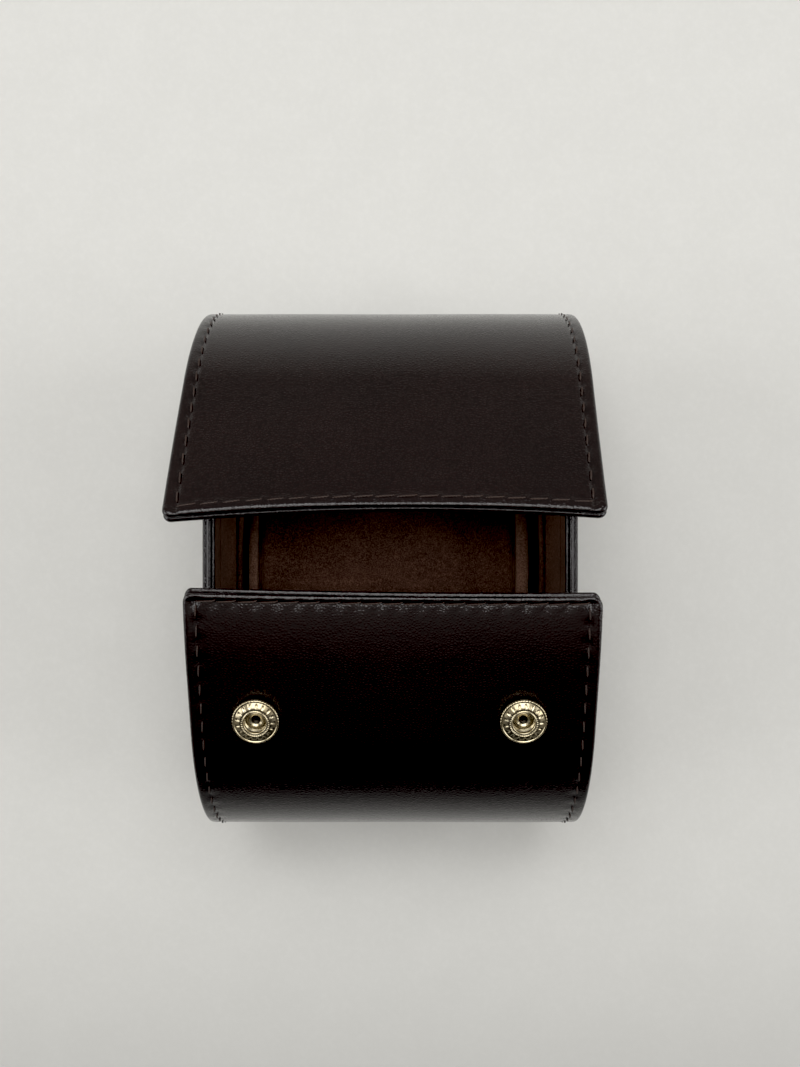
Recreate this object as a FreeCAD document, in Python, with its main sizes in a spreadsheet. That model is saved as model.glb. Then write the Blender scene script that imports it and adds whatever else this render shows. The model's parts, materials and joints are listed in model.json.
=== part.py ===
import FreeCAD, Part
import math
import os

import Sketcher
from FreeCAD import Placement, Rotation, Vector

# Travel roll for one watch, lying open.
# X runs along the roll, +Y to the rear flap, -Y to the front flap, +Z up, Z = 0 under the base.
# Lengths are millimetres and angles degrees.

SIZES = [
    ("wrap_width", 90.0, "length of the wrap along the roll"),
    ("half_depth", 64.0, "furthest reach of the open wrap before and behind the middle"),
    ("base_bend_radius", 28.0, "outer radius where the base turns up into the walls"),
    ("rear_arc_radius", 47.8, "outer radius of the rear wall and its shoulder"),
    ("rear_flap_slope", 33.6, "slope of the flat stretch of the rear flap"),
    ("rear_flap_straight", 34.3, "flat stretch of the rear flap"),
    ("front_arc_radius", 37.4, "outer radius of the front wall"),
    ("front_flap_slope", 15.8, "slope of the flat stretch of the front flap"),
    ("front_flap_straight", 33.2, "flat stretch of the front flap"),
    ("outer_ply", 1.1, "calf leather over the board"),
    ("board_ply", 0.8, "stiff board between leather and lining"),
    ("inner_ply", 1.1, "suede lining over the board"),
    ("hem_width", 3.6, "turned edge beside the board"),
    ("board_setback", 1.0, "board stops this far before a bend"),
    ("board_fit", 0.05, "play of a board in its pocket, each side"),
    ("seam_gap", 0.1, "play between a bend strip and the moving piece it leads to"),
    ("corner_radius", 2.0, "corners of the free edges, seen from above"),
    ("bead_radius", 0.45, "rounding of the turned edges"),
    ("bend_angle", 5.0, "place of a base hinge line on the base bend"),
    ("bend_reach", 5.0, "bend strip on either side of a base hinge line"),
    ("shoulder_angle", 33.0, "place of the shoulder hinge line on the rear arc"),
    ("shoulder_reach", 5.0, "shoulder strip on either side of its hinge line"),
    ("wall_setback", 1.0, "end wall inside the side edge of the wrap"),
    ("wall_half", 48.0, "half of an end wall from front to rear"),
    ("wall_rise", 49.4, "height of an end wall above the lining of the base"),
    ("wall_lower_radius", 18.0, "lower corners of an end wall"),
    ("wall_upper_radius", 28.0, "upper corners of an end wall"),
    ("wall_skin", 0.8, "leather on the outside of an end wall"),
    ("wall_board", 1.2, "board of an end wall"),
    ("wall_lining", 0.8, "suede on the inside of an end wall"),
    ("wall_turn", 1.6, "leather turned over the edge of an end wall"),
    ("wall_lining_inset", 0.7, "lining stops this far inside the rim of an end wall"),
    ("gusset_ply", 3.0, "folded strip sewn between an end wall and the base"),
    ("gusset_height", 26.0, "upright leg of that strip"),
    ("gusset_foot", 4.2, "leg of that strip on the base"),
    ("gusset_length", 60.0, "length of that strip from front to rear"),
    ("cushion_end_gap", 5.8, "end of the watch cushion to the lining of an end wall"),
    ("cushion_half", 23.0, "half of the cushion from front to rear"),
    ("cushion_height", 31.0, "cushion from its underside to its crown"),
    ("cushion_band", 3.2, "end band of the cushion, from its seam to its end"),
    ("cushion_seam_draw", 1.1, "depth of the channel that a seam draws in"),
    ("cushion_end_draw", 2.6, "rounding in of the cushion at its ends"),
    ("cushion_crown", 5.0, "rise of the crown over the shoulders of the cushion"),
    ("cushion_swell", 0.9, "swell of the cushion's sides"),
    ("cushion_corner", 5.0, "rounding of the cushion's long edges"),
    ("cushion_seam_fade", 3.5, "length over which a seam's channel fades out"),
    ("cover_ply", 1.2, "suede cover of the cushion"),
    ("cushion_play", 0.3, "gap under the loose cushion"),
    ("snap_side_inset", 15.4, "snap from the side edge of the wrap"),
    ("socket_inset", 28.6, "socket from the free edge of the front flap"),
    ("stud_inset", 9.634, "stud from the free edge of the rear flap, over the socket when closed"),
    ("socket_radius", 5.25, "rim of a socket"),
    ("socket_height", 2.5, "face of a socket above the leather"),
    ("socket_foot_radius", 4.3, "narrower foot of a socket"),
    ("socket_foot_height", 0.8, "height of that foot"),
    ("socket_bore", 2.4, "radius of the hole that takes a stud"),
    ("socket_floor", 0.5, "floor of that hole above the leather"),
    ("spring_wire", 0.3, "half of the six-sided wire of a ring spring"),
    ("spring_level", 1.5, "ring spring above the leather"),
    ("spring_gap", 40.0, "opening of the ring spring"),
    ("spring_play", 0.05, "play of the ring spring in its groove"),
    ("eyelet_radius", 1.5, "barrel of an eyelet"),
    ("eyelet_bore", 1.05, "bore of an eyelet"),
    ("eyelet_flange", 4.0, "radius of the eyelet's flange on the lining"),
    ("eyelet_lip", 2.1, "radius of the rolled lip inside the socket"),
    ("metal_sheet", 0.4, "sheet that the snap parts are pressed from"),
    ("pierce_play", 0.1, "play of a barrel or a post in its hole"),
    ("stud_flange", 4.5, "radius of a stud's flange"),
    ("stud_flange_ply", 0.5, "thickness of a stud's flange"),
    ("stud_knob", 2.1, "radius of a stud's knob"),
    ("stud_neck", 1.75, "radius of a stud's neck"),
    ("stud_rise", 1.8, "knob above the flange"),
    ("stud_cap", 0.6, "metal of a stud's knob over its post"),
    ("post_radius", 1.1, "shank of a stud's post"),
    ("post_head", 4.0, "radius of the post's head under the leather"),
]

doc = FreeCAD.newDocument("watch_roll")
sheet = doc.addObject("Spreadsheet::Sheet", "Sizes")
for row, (alias, value, meaning) in enumerate(SIZES, start=1):
    sheet.set(f"A{row}", meaning)
    sheet.set(f"B{row}", str(value))
    sheet.setAlias(f"B{row}", alias)
doc.recompute()


def size(alias):
    """Value of one cell of the sheet."""
    return float(sheet.get(alias))


def cosd(angle):
    return math.cos(math.radians(angle))


def sind(angle):
    return math.sin(math.radians(angle))


WRAP_PLY = size("outer_ply") + size("board_ply") + size("inner_ply")
FLOOR = WRAP_PLY
WALL_OUTSIDE = size("wrap_width") / 2 - size("wall_setback")
WALL_INSIDE = WALL_OUTSIDE - size("wall_skin") - size("wall_board") - size("wall_lining")
CUSHION_END = WALL_INSIDE - size("cushion_end_gap")
SNAP_SIDE = size("wrap_width") / 2 - size("snap_side_inset")

# Depths below the outer face of the wrap, as formulas of the sheet.
DEPTH = {
    "face": "0 mm",
    "leather": "Sizes.outer_ply * 1 mm",
    "board_top": "(Sizes.outer_ply + Sizes.board_fit) * 1 mm",
    "middle": "(Sizes.outer_ply + Sizes.board_ply / 2) * 1 mm",
    "board_low": "(Sizes.outer_ply + Sizes.board_ply - Sizes.board_fit) * 1 mm",
    "board": "(Sizes.outer_ply + Sizes.board_ply) * 1 mm",
    "inside": "(Sizes.outer_ply + Sizes.board_ply + Sizes.inner_ply) * 1 mm",
}
DEPTH_VALUE = {
    "face": 0.0,
    "leather": size("outer_ply"),
    "board_top": size("outer_ply") + size("board_fit"),
    "middle": size("outer_ply") + size("board_ply") / 2,
    "board_low": size("outer_ply") + size("board_ply") - size("board_fit"),
    "board": size("outer_ply") + size("board_ply"),
    "inside": WRAP_PLY,
}


class WrapSide:
    """Section of one half of the open wrap: flat base, base bend, wall arc, straight flap."""

    FLAT, BEND, ARC, FLAP = range(4)

    def __init__(self, sign, name):
        self.sign = sign
        self.name = name
        self.slope = size(f"{name}_flap_slope")
        self.straight = size(f"{name}_flap_straight")
        self.arc_radius = size(f"{name}_arc_radius")
        self.bend_radius = size("base_bend_radius")
        self.flat = size("half_depth") - self.bend_radius
        self.arc_centre = size("half_depth") - self.arc_radius

    def ends(self, part):
        """Parameter range of one stretch of the section."""
        return {
            self.FLAT: (0.0, self.flat),
            self.BEND: (0.0, 90.0),
            self.ARC: (0.0, 90.0 - self.slope),
            self.FLAP: (0.0, self.straight),
        }[part]

    def point(self, part, along, depth):
        """Point of the section at a depth below the outer face."""
        if part == self.FLAT:
            out, up = along, depth
        elif part == self.BEND:
            reach = self.bend_radius - depth
            out = self.flat + reach * sind(along)
            up = self.bend_radius - reach * cosd(along)
        else:
            turn = min(along, 90.0 - self.slope) if part == self.ARC else 90.0 - self.slope
            reach = self.arc_radius - depth
            out = self.arc_centre + reach * cosd(turn)
            up = self.bend_radius + reach * sind(turn)
            if part == self.FLAP:
                out -= along * cosd(self.slope)
                up += along * sind(self.slope)
        return Vector(self.sign * out, up, 0)

    def depth(self, y, z):
        """Depth of a point below the outer face."""
        out = self.sign * y
        if z < self.bend_radius:
            if out < self.flat:
                return z
            return self.bend_radius - math.hypot(out - self.flat, z - self.bend_radius)
        out -= self.arc_centre
        up = z - self.bend_radius
        if math.degrees(math.atan2(up, out)) < 90.0 - self.slope:
            return self.arc_radius - math.hypot(out, up)
        return self.arc_radius - (out * sind(self.slope) + up * cosd(self.slope))

    def arc(self, part, start, end, depth):
        """Arc of the section, and which of its two ends comes first on the way up."""
        if part == self.BEND:
            centre, radius = self.flat, self.bend_radius - depth
            first, last = start - 90.0, end - 90.0
        else:
            centre, radius = self.arc_centre, self.arc_radius - depth
            first, last = start, end
        if self.sign < 0:
            first, last = 180.0 - last, 180.0 - first
        circle = Part.Circle(Vector(self.sign * centre, self.bend_radius, 0), Vector(0, 0, 1), radius)
        curve = Part.ArcOfCircle(circle, math.radians(first), math.radians(last))
        return curve, (1, 2) if self.sign > 0 else (2, 1)

    def run(self, start, end, depth_name):
        """Curves from one station to another at one depth, as (curve, ends, part) in order."""
        depth = DEPTH_VALUE[depth_name]
        curves = []
        for part in range(start[0], end[0] + 1):
            low, high = self.ends(part)
            low = start[1] if part == start[0] else low
            high = end[1] if part == end[0] else high
            if part in (self.FLAT, self.FLAP):
                line = Part.LineSegment(self.point(part, low, depth), self.point(part, high, depth))
                curves.append((line, (1, 2), part, depth_name))
            else:
                curve, ends = self.arc(part, low, high, depth)
                curves.append((curve, ends, part, depth_name))
        return curves

    def along(self, station, distance):
        """Station moved along the outer face, up the wrap when the distance is positive."""
        part, value = station
        if part == self.BEND:
            return part, value + math.degrees(distance / self.bend_radius)
        if part == self.ARC:
            return part, value + math.degrees(distance / self.arc_radius)
        return part, value + distance


REAR = WrapSide(1, "rear")
FRONT = WrapSide(-1, "front")


def origin_plane(body, role):
    """One of a body's own origin planes."""
    return next(plane for plane in body.Origin.OriginFeatures if plane.Role == role)


def new_sketch(body, name, role="YZ_Plane", offset=Placement()):
    """Empty sketch on one of a body's origin planes."""
    sketch = body.newObject("Sketcher::SketchObject", name)
    sketch.AttachmentSupport = [(origin_plane(body, role), "")]
    sketch.MapMode = "FlatFace"
    sketch.AttachmentOffset = offset
    return sketch


def close_loop(sketch, first, ends):
    """Joins curves numbered from first into a loop, each by its (start, end) points."""
    count = len(ends)
    for index in range(count):
        following = (index + 1) % count
        end, start = ends[index][1], ends[following][0]
        sketch.addConstraint(Sketcher.Constraint("Coincident", first + index, end, first + following, start))


def strip_sketch(body, side, start, end, outer, inner):
    """Sketch of a stretch of the wrap between two stations and two depths."""
    sketch = new_sketch(body, f"{body.Name}_section")
    forward = side.run(start, end, outer)
    inside = reversed(side.run(start, end, inner))
    backward = [(curve, (ends[1], ends[0]), part, depth) for curve, ends, part, depth in inside]
    cap_top = Part.LineSegment(
        side.point(end[0], end[1], DEPTH_VALUE[outer]), side.point(end[0], end[1], DEPTH_VALUE[inner])
    )
    cap_low = Part.LineSegment(
        side.point(start[0], start[1], DEPTH_VALUE[inner]), side.point(start[0], start[1], DEPTH_VALUE[outer])
    )
    chain = forward + [(cap_top, (1, 2), None, None)] + backward + [(cap_low, (1, 2), None, None)]
    sketch.addGeometry([item[0] for item in chain], False)
    close_loop(sketch, 0, [item[1] for item in chain])
    for index, (curve, ends, part, depth) in enumerate(chain):
        if part not in (side.BEND, side.ARC):
            continue
        radius_name = "base_bend_radius" if part == side.BEND else f"{side.name}_arc_radius"
        number = sketch.addConstraint(Sketcher.Constraint("Radius", index, curve.Radius))
        sketch.setExpression(f"Constraints[{number}]", f"Sizes.{radius_name} * 1 mm - {DEPTH[depth]}")
        number = sketch.addConstraint(
            Sketcher.Constraint("DistanceY", -1, 1, index, 3, side.bend_radius)
        )
        sketch.setExpression(f"Constraints[{number}]", "Sizes.base_bend_radius * 1 mm")
    return sketch


def symmetric(feature, length):
    """Length of a pad or pocket to both sides of its sketch."""
    feature.SideType = "Symmetric"
    feature.setExpression("Length", length)
    feature.Refine = False
    return feature


def new_body(label):
    """Body whose label names its node."""
    body = doc.addObject("PartDesign::Body", label)
    body.Label = label
    return body


def pad_strip(label, side, start, end, outer, inner, width):
    """Body made of one stretch of the wrap, as wide as the formula says."""
    body = new_body(label)
    sketch = strip_sketch(body, side, start, end, outer, inner)
    pad = body.newObject("PartDesign::Pad", f"{label}_pad")
    pad.Profile = sketch
    symmetric(pad, width)
    return body


def pocket_strip(body, side, start, end, outer, inner, width):
    """Pocket for a board in the turned leather or lining of a body."""
    sketch = strip_sketch(body, side, start, end, outer, inner)
    pocket = body.newObject("PartDesign::Pocket", f"{body.Name}_pocket")
    pocket.Profile = sketch
    symmetric(pocket, width)


def edge_names(shape, wanted):
    """Names of a shape's edges that pass a test."""
    return [f"Edge{number}" for number, edge in enumerate(shape.Edges, start=1) if wanted(edge)]


def fillet(body, name, wanted, radius):
    """Fillet on those edges of a body's tip that pass a test."""
    doc.recompute()
    base = body.Tip
    rounding = body.newObject("PartDesign::Fillet", f"{body.Name}_{name}")
    rounding.Base = (base, edge_names(base.Shape, wanted))
    rounding.setExpression("Radius", radius)
    return rounding


WIDTH = "Sizes.wrap_width * 1 mm"
POCKET_WIDTH = "(Sizes.wrap_width - 2 * Sizes.hem_width) * 1 mm"
BOARD_WIDTH = "(Sizes.wrap_width - 2 * Sizes.hem_width - 2 * Sizes.board_fit) * 1 mm"
NEAR = 1e-4


def at_side(vertex):
    """Whether a point lies on a side edge of the wrap."""
    return abs(abs(vertex.X) - size("wrap_width") / 2) < NEAR


def round_free_corners(body, side, outer, inner):
    """Rounds the two corners of a flap's free edge, as seen from above."""
    spots = [side.point(side.FLAP, side.straight, DEPTH_VALUE[name]) for name in (outer, inner)]

    def on_end(vertex):
        return any(abs(vertex.Y - spot.x) < NEAR and abs(vertex.Z - spot.y) < NEAR for spot in spots)

    def corner(edge):
        return edge.BoundBox.XLength < NEAR and all(at_side(v) and on_end(v) for v in edge.Vertexes)

    fillet(body, "corners", corner, "Sizes.corner_radius * 1 mm")


def round_beads(body, side, depth_name, free):
    """Rounds the turned edges of a piece of the wrap, on the face at one depth."""
    depth = DEPTH_VALUE[depth_name]
    tip = side.point(side.FLAP, side.straight, depth)

    def on_face(vertex):
        return abs(side.depth(vertex.Y, vertex.Z) - depth) < NEAR

    def near_tip(vertex):
        return free and math.hypot(vertex.Y - tip.x, vertex.Z - tip.y) < size("corner_radius") + NEAR

    def bead(edge):
        if not all(on_face(vertex) for vertex in edge.Vertexes):
            return False
        along_side = edge.BoundBox.XLength < NEAR and all(at_side(vertex) for vertex in edge.Vertexes)
        return along_side or all(near_tip(vertex) for vertex in edge.Vertexes)

    fillet(body, "bead", bead, "Sizes.bead_radius * 1 mm")


def layered(name, side, start, end, free):
    """Leather, board and lining of one stiff stretch of the wrap.

    A free end is hemmed and has rounded corners, the other ends run on into a bend.
    """
    start_board = side.along(start, size("board_setback"))
    end_board = side.along(end, -size("hem_width") if free else -size("board_setback"))
    leather = pad_strip(f"{name}_leather", side, start, end, "face", "middle", WIDTH)
    lining = pad_strip(f"{name}_lining", side, start, end, "middle", "inside", WIDTH)
    if free:
        round_free_corners(leather, side, "face", "middle")
        round_free_corners(lining, side, "middle", "inside")
    pocket_strip(leather, side, start_board, end_board, "leather", "middle", POCKET_WIDTH)
    pocket_strip(lining, side, start_board, end_board, "middle", "board", POCKET_WIDTH)
    start_play = side.along(start_board, size("board_fit"))
    end_play = side.along(end_board, -size("board_fit"))
    board = pad_strip(f"{name}_board", side, start_play, end_play, "board_top", "board_low", BOARD_WIDTH)
    round_beads(leather, side, "face", free)
    round_beads(lining, side, "inside", free)
    return leather, board, lining


def bend(name, side, start, end):
    """Leather and lining that flex between two stiff stretches."""
    leather = pad_strip(f"{name}_leather", side, start, end, "face", "middle", WIDTH)
    lining = pad_strip(f"{name}_lining", side, start, end, "middle", "inside", WIDTH)
    round_beads(leather, side, "face", False)
    round_beads(lining, side, "inside", False)


def bend_stations(side):
    """Start and end of the strip that flexes at the foot of one wall."""
    hinge = (side.BEND, size("bend_angle"))
    before = size("bend_reach") - side.bend_radius * math.radians(size("bend_angle"))
    return (side.FLAT, side.flat - before), side.along(hinge, size("bend_reach"))


def rectangle(sketch, left, low, right, high):
    """Closed rectangle in a sketch."""
    corners = [Vector(left, low, 0), Vector(right, low, 0), Vector(right, high, 0), Vector(left, high, 0)]
    lines = [Part.LineSegment(corners[i], corners[(i + 1) % 4]) for i in range(4)]
    sketch.addGeometry(lines, False)
    close_loop(sketch, 0, [(1, 2)] * 4)


def flat_sketch(body, half, outer, inner):
    """Section of the flat base between two depths, symmetric about the middle."""
    sketch = new_sketch(body, f"{body.Name}_section")
    rectangle(sketch, -half, DEPTH_VALUE[outer], half, DEPTH_VALUE[inner])
    number = sketch.addConstraint(
        Sketcher.Constraint("DistanceY", 1, 1, 1, 2, DEPTH_VALUE[inner] - DEPTH_VALUE[outer])
    )
    sketch.setExpression(f"Constraints[{number}]", f"{DEPTH[inner]} - {DEPTH[outer]}")
    return sketch


def flat_piece(label, half, outer, inner, width):
    """Body made of a flat layer of the base."""
    body = new_body(label)
    pad = body.newObject("PartDesign::Pad", f"{label}_pad")
    pad.Profile = flat_sketch(body, half, outer, inner)
    symmetric(pad, width)
    return body


def flat_pocket(body, half, outer, inner):
    """Pocket for the board of the base."""
    sketch = flat_sketch(body, half, outer, inner)
    pocket = body.newObject("PartDesign::Pocket", f"{body.Name}_pocket")
    pocket.Profile = sketch
    symmetric(pocket, POCKET_WIDTH)


def build_wrap():
    """Base, walls and flaps of the wrap, with the strips that flex between them."""
    rear_start, rear_end = bend_stations(REAR)
    front_start, front_end = bend_stations(FRONT)
    base_half = rear_start[1]
    board_half = base_half - size("board_setback")
    base_leather = flat_piece("base_leather", base_half, "face", "middle", WIDTH)
    base_lining = flat_piece("base_lining", base_half, "middle", "inside", WIDTH)
    flat_pocket(base_leather, board_half, "leather", "middle")
    flat_pocket(base_lining, board_half, "middle", "board")
    flat_piece("base_board", board_half - size("board_fit"), "board_top", "board_low", BOARD_WIDTH)
    round_beads(base_leather, REAR, "face", False)
    round_beads(base_lining, REAR, "inside", False)

    bend("rear_bend", REAR, rear_start, rear_end)
    bend("front_bend", FRONT, front_start, front_end)
    shoulder = (REAR.ARC, size("shoulder_angle"))
    shoulder_start = REAR.along(shoulder, -size("shoulder_reach"))
    shoulder_end = REAR.along(shoulder, size("shoulder_reach"))
    bend("shoulder_bend", REAR, shoulder_start, shoulder_end)

    gap = size("seam_gap")
    layered("rear_wall", REAR, REAR.along(rear_end, gap), REAR.along(shoulder_start, -gap), False)
    flap_end = (REAR.FLAP, REAR.straight)
    upper = layered("upper_flap", REAR, REAR.along(shoulder_end, gap), flap_end, True)
    front_flap_end = (FRONT.FLAP, FRONT.straight)
    lower = layered("lower_flap", FRONT, FRONT.along(front_end, gap), front_flap_end, True)
    return upper, lower


def wall_curves(inset):
    """Outline of an end wall, from its foot round to its lower corner, as (curve, name of its radius)."""
    half = size("wall_half") - inset
    low = FLOOR + inset
    high = FLOOR + size("wall_rise") - inset
    lower = size("wall_lower_radius") - inset
    upper = size("wall_upper_radius") - inset

    def corner(y, z, name, start):
        circle = Part.Circle(Vector(y, z, 0), Vector(0, 0, 1), size(name) - inset)
        return Part.ArcOfCircle(circle, math.radians(start), math.radians(start + 90)), name

    def line(y0, z0, y1, z1):
        return Part.LineSegment(Vector(y0, z0, 0), Vector(y1, z1, 0)), None

    return [
        line(-half + lower, low, half - lower, low),
        corner(half - lower, low + lower, "wall_lower_radius", -90),
        line(half, low + lower, half, high - upper),
        corner(half - upper, high - upper, "wall_upper_radius", 0),
        line(half - upper, high, -half + upper, high),
        corner(-half + upper, high - upper, "wall_upper_radius", 90),
        line(-half, high - upper, -half, low + lower),
        corner(-half + lower, low + lower, "wall_lower_radius", 180),
    ]


def wall_sketch(body, inset, inset_formula, station):
    """Sketch of an end wall's outline at a place along the roll."""
    sketch = new_sketch(body, f"{body.Name}_outline", offset=Placement(Vector(0, 0, station), Rotation()))
    curves = wall_curves(inset)
    sketch.addGeometry([curve for curve, name in curves], False)
    close_loop(sketch, 0, [(1, 2)] * len(curves))
    for index, (curve, name) in enumerate(curves):
        if name:
            number = sketch.addConstraint(Sketcher.Constraint("Radius", index, curve.Radius))
            sketch.setExpression(f"Constraints[{number}]", f"Sizes.{name} * 1 mm - {inset_formula}")
    return sketch


def pad_towards(body, sketch, length, reverse, kind="Pad"):
    """Pad or pocket to one side of a sketch."""
    feature = body.newObject(f"PartDesign::{kind}", f"{body.Name}_{kind.lower()}")
    feature.Profile = sketch
    feature.Reversed = reverse
    feature.setExpression("Length", length)
    feature.Refine = False
    return feature


def build_end_wall(name, sign):
    """Leather cup, board, suede and sewn strip of one end wall."""
    outside = sign * WALL_OUTSIDE
    inward = sign > 0
    core = outside - sign * size("wall_skin")
    lining_face = core - sign * size("wall_board")
    inner_face = sign * WALL_INSIDE

    leather = new_body(f"{name}_wall_leather")
    outline = wall_sketch(leather, 0.0, "0 mm", outside)
    pad_towards(leather, outline, "(Sizes.wall_skin + Sizes.wall_board) * 1 mm", inward)
    seat = wall_sketch(leather, size("wall_turn"), "Sizes.wall_turn * 1 mm", core)
    pad_towards(leather, seat, "Sizes.wall_board * 1 mm", not inward, "Pocket")

    board = new_body(f"{name}_wall_board")
    inset = size("wall_turn") + size("board_fit")
    outline = wall_sketch(board, inset, "(Sizes.wall_turn + Sizes.board_fit) * 1 mm", core)
    pad_towards(board, outline, "Sizes.wall_board * 1 mm", inward)

    lining = new_body(f"{name}_wall_lining")
    outline = wall_sketch(lining, size("wall_lining_inset"), "Sizes.wall_lining_inset * 1 mm", lining_face)
    pad_towards(lining, outline, "Sizes.wall_lining * 1 mm", inward)

    gusset = new_body(f"{name}_gusset")
    sketch = new_sketch(gusset, f"{name}_gusset_section", "XZ_Plane")
    ply = size("gusset_ply")
    foot = inner_face - sign * size("gusset_foot")
    corners = [
        Vector(inner_face, FLOOR, 0),
        Vector(inner_face, FLOOR + size("gusset_height"), 0),
        Vector(inner_face - sign * ply, FLOOR + size("gusset_height"), 0),
        Vector(inner_face - sign * ply, FLOOR + ply, 0),
        Vector(foot, FLOOR + ply, 0),
        Vector(foot, FLOOR, 0),
    ]
    count = len(corners)
    sketch.addGeometry([Part.LineSegment(corners[i], corners[(i + 1) % count]) for i in range(count)], False)
    close_loop(sketch, 0, [(1, 2)] * count)
    number = sketch.addConstraint(Sketcher.Constraint("DistanceY", 0, 1, 0, 2, size("gusset_height")))
    sketch.setExpression(f"Constraints[{number}]", "Sizes.gusset_height * 1 mm")
    pad = gusset.newObject("PartDesign::Pad", f"{name}_gusset_pad")
    pad.Profile = sketch
    symmetric(pad, "Sizes.gusset_length * 1 mm")


def cushion_section(draw):
    """Closed section of the cushion, drawn in all round by a distance."""
    half = size("cushion_half") - draw
    low = FLOOR + size("cushion_play") + draw / 2
    high = FLOOR + size("cushion_play") + size("cushion_height") - draw
    corner = size("cushion_corner") - draw / 2
    shoulder = high - size("cushion_crown")
    side_low = low + corner
    side_high = shoulder - corner
    middle = (side_low + side_high) / 2
    swell = half + size("cushion_swell")
    lean = corner * (1 - cosd(45))

    def arc(*points):
        return Part.Arc(*[Vector(y, z, 0) for y, z in points])

    return [
        Part.LineSegment(Vector(-half + corner, low, 0), Vector(half - corner, low, 0)),
        arc((half - corner, low), (half - lean, low + lean), (half, side_low)),
        arc((half, side_low), (swell, middle), (half, side_high)),
        arc((half, side_high), (half - lean, shoulder - lean), (half - corner, shoulder)),
        arc((half - corner, shoulder), (0, high), (-half + corner, shoulder)),
        arc((-half + corner, shoulder), (-half + lean, shoulder - lean), (-half, side_high)),
        arc((-half, side_high), (-swell, middle), (-half, side_low)),
        arc((-half, side_low), (-half + lean, low + lean), (-half + corner, low)),
    ]


def cushion_loft(body, kind, stations):
    """Loft of the cushion's section through (place along the roll, draw) pairs."""
    sketches = []
    for number, (station, draw) in enumerate(stations):
        place = Placement(Vector(0, 0, station), Rotation())
        sketch = new_sketch(body, f"{body.Name}_{kind.lower()}_{number}", offset=place)
        curves = cushion_section(draw)
        sketch.addGeometry(curves, False)
        close_loop(sketch, 0, [(1, 2)] * len(curves))
        sketches.append(sketch)
    loft = body.newObject(f"PartDesign::{kind}", f"{body.Name}_{kind.lower()}")
    loft.Profile = sketches[0]
    loft.Sections = sketches[1:]
    loft.Ruled = True
    loft.Refine = False


def build_cushion():
    """Foam core, suede cover and two end bands of the loose watch cushion."""
    ply = size("cover_ply")
    seam = CUSHION_END - size("cushion_band")
    fade = size("cushion_seam_fade")
    seam_draw = size("cushion_seam_draw")
    end_draw = size("cushion_end_draw")
    half_panel = [(seam, seam_draw), (seam - fade / 3, seam_draw / 3), (seam - fade, 0.0)]
    band = [(seam, seam_draw), (seam + size("cushion_band") / 2, seam_draw / 2), (CUSHION_END, end_draw)]
    half_core = [(CUSHION_END - ply, end_draw), (seam, seam_draw), (seam - fade, 0.0)]
    panel = [(-station, draw) for station, draw in half_panel] + half_panel[::-1]
    core = [(-station, draw + ply) for station, draw in half_core]
    core += [(station, draw + ply) for station, draw in half_core[::-1]]

    cushion_loft(new_body("cushion_core"), "AdditiveLoft", core)
    cover = new_body("cushion_cover")
    cushion_loft(cover, "AdditiveLoft", panel)
    cushion_loft(cover, "SubtractiveLoft", core)
    for name, sign in (("left", -1), ("right", 1)):
        body = new_body(f"cushion_{name}_band")
        cushion_loft(body, "AdditiveLoft", [(sign * station, draw) for station, draw in band])
        cushion_loft(body, "SubtractiveLoft", core)


def flap_place(side, station, depth, turn):
    """Placement on a flap's straight, with its own Z turned from the flap's outward normal."""
    spot = side.point(side.FLAP, station, depth)
    return Placement(Vector(0, spot.x, spot.y), Rotation(Vector(1, 0, 0), -side.sign * side.slope + turn))


SOCKET_PLACE = flap_place(FRONT, FRONT.straight - size("socket_inset"), 0.0, 0)
STUD_PLACE = flap_place(REAR, REAR.straight - size("stud_inset"), WRAP_PLY, 180)


def pierce(body, place, radius, radius_formula, depth_formula):
    """Two round holes, one for each snap, half of their depth to either side of a plane."""
    sketch = new_sketch(body, f"{body.Name}_holes", "XY_Plane", place)
    for index, sign in enumerate((-1, 1)):
        centre = Vector(sign * SNAP_SIDE, 0, 0)
        sketch.addGeometry(Part.Circle(centre, Vector(0, 0, 1), radius), False)
        number = sketch.addConstraint(Sketcher.Constraint("Radius", index, radius))
        sketch.setExpression(f"Constraints[{number}]", radius_formula)
    pocket = body.newObject("PartDesign::Pocket", f"{body.Name}_pierce")
    pocket.Profile = sketch
    symmetric(pocket, depth_formula)


def pierce_flaps(upper, lower):
    """Holes for the eyelets in the front flap and for the posts in the rear flap's board and lining."""
    through = "4 * (Sizes.outer_ply + Sizes.board_ply + Sizes.inner_ply) * 1 mm"
    barrel = size("eyelet_radius") + size("pierce_play")
    for body in lower:
        pierce(body, SOCKET_PLACE, barrel, "(Sizes.eyelet_radius + Sizes.pierce_play) * 1 mm", through)
    board, lining = upper[1:]
    shank = size("post_radius") + size("pierce_play")
    for body in (board, lining):
        pierce(body, STUD_PLACE, shank, "(Sizes.post_radius + Sizes.pierce_play) * 1 mm", through)
    head = size("post_head") + size("pierce_play")
    recess = STUD_PLACE.multiply(Placement(Vector(0, 0, -size("inner_ply") - size("board_ply")), Rotation()))
    recess_depth = "2 * (Sizes.metal_sheet + 2 * Sizes.board_fit) * 1 mm"
    pierce(board, recess, head, "(Sizes.post_head + Sizes.pierce_play) * 1 mm", recess_depth)


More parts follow.
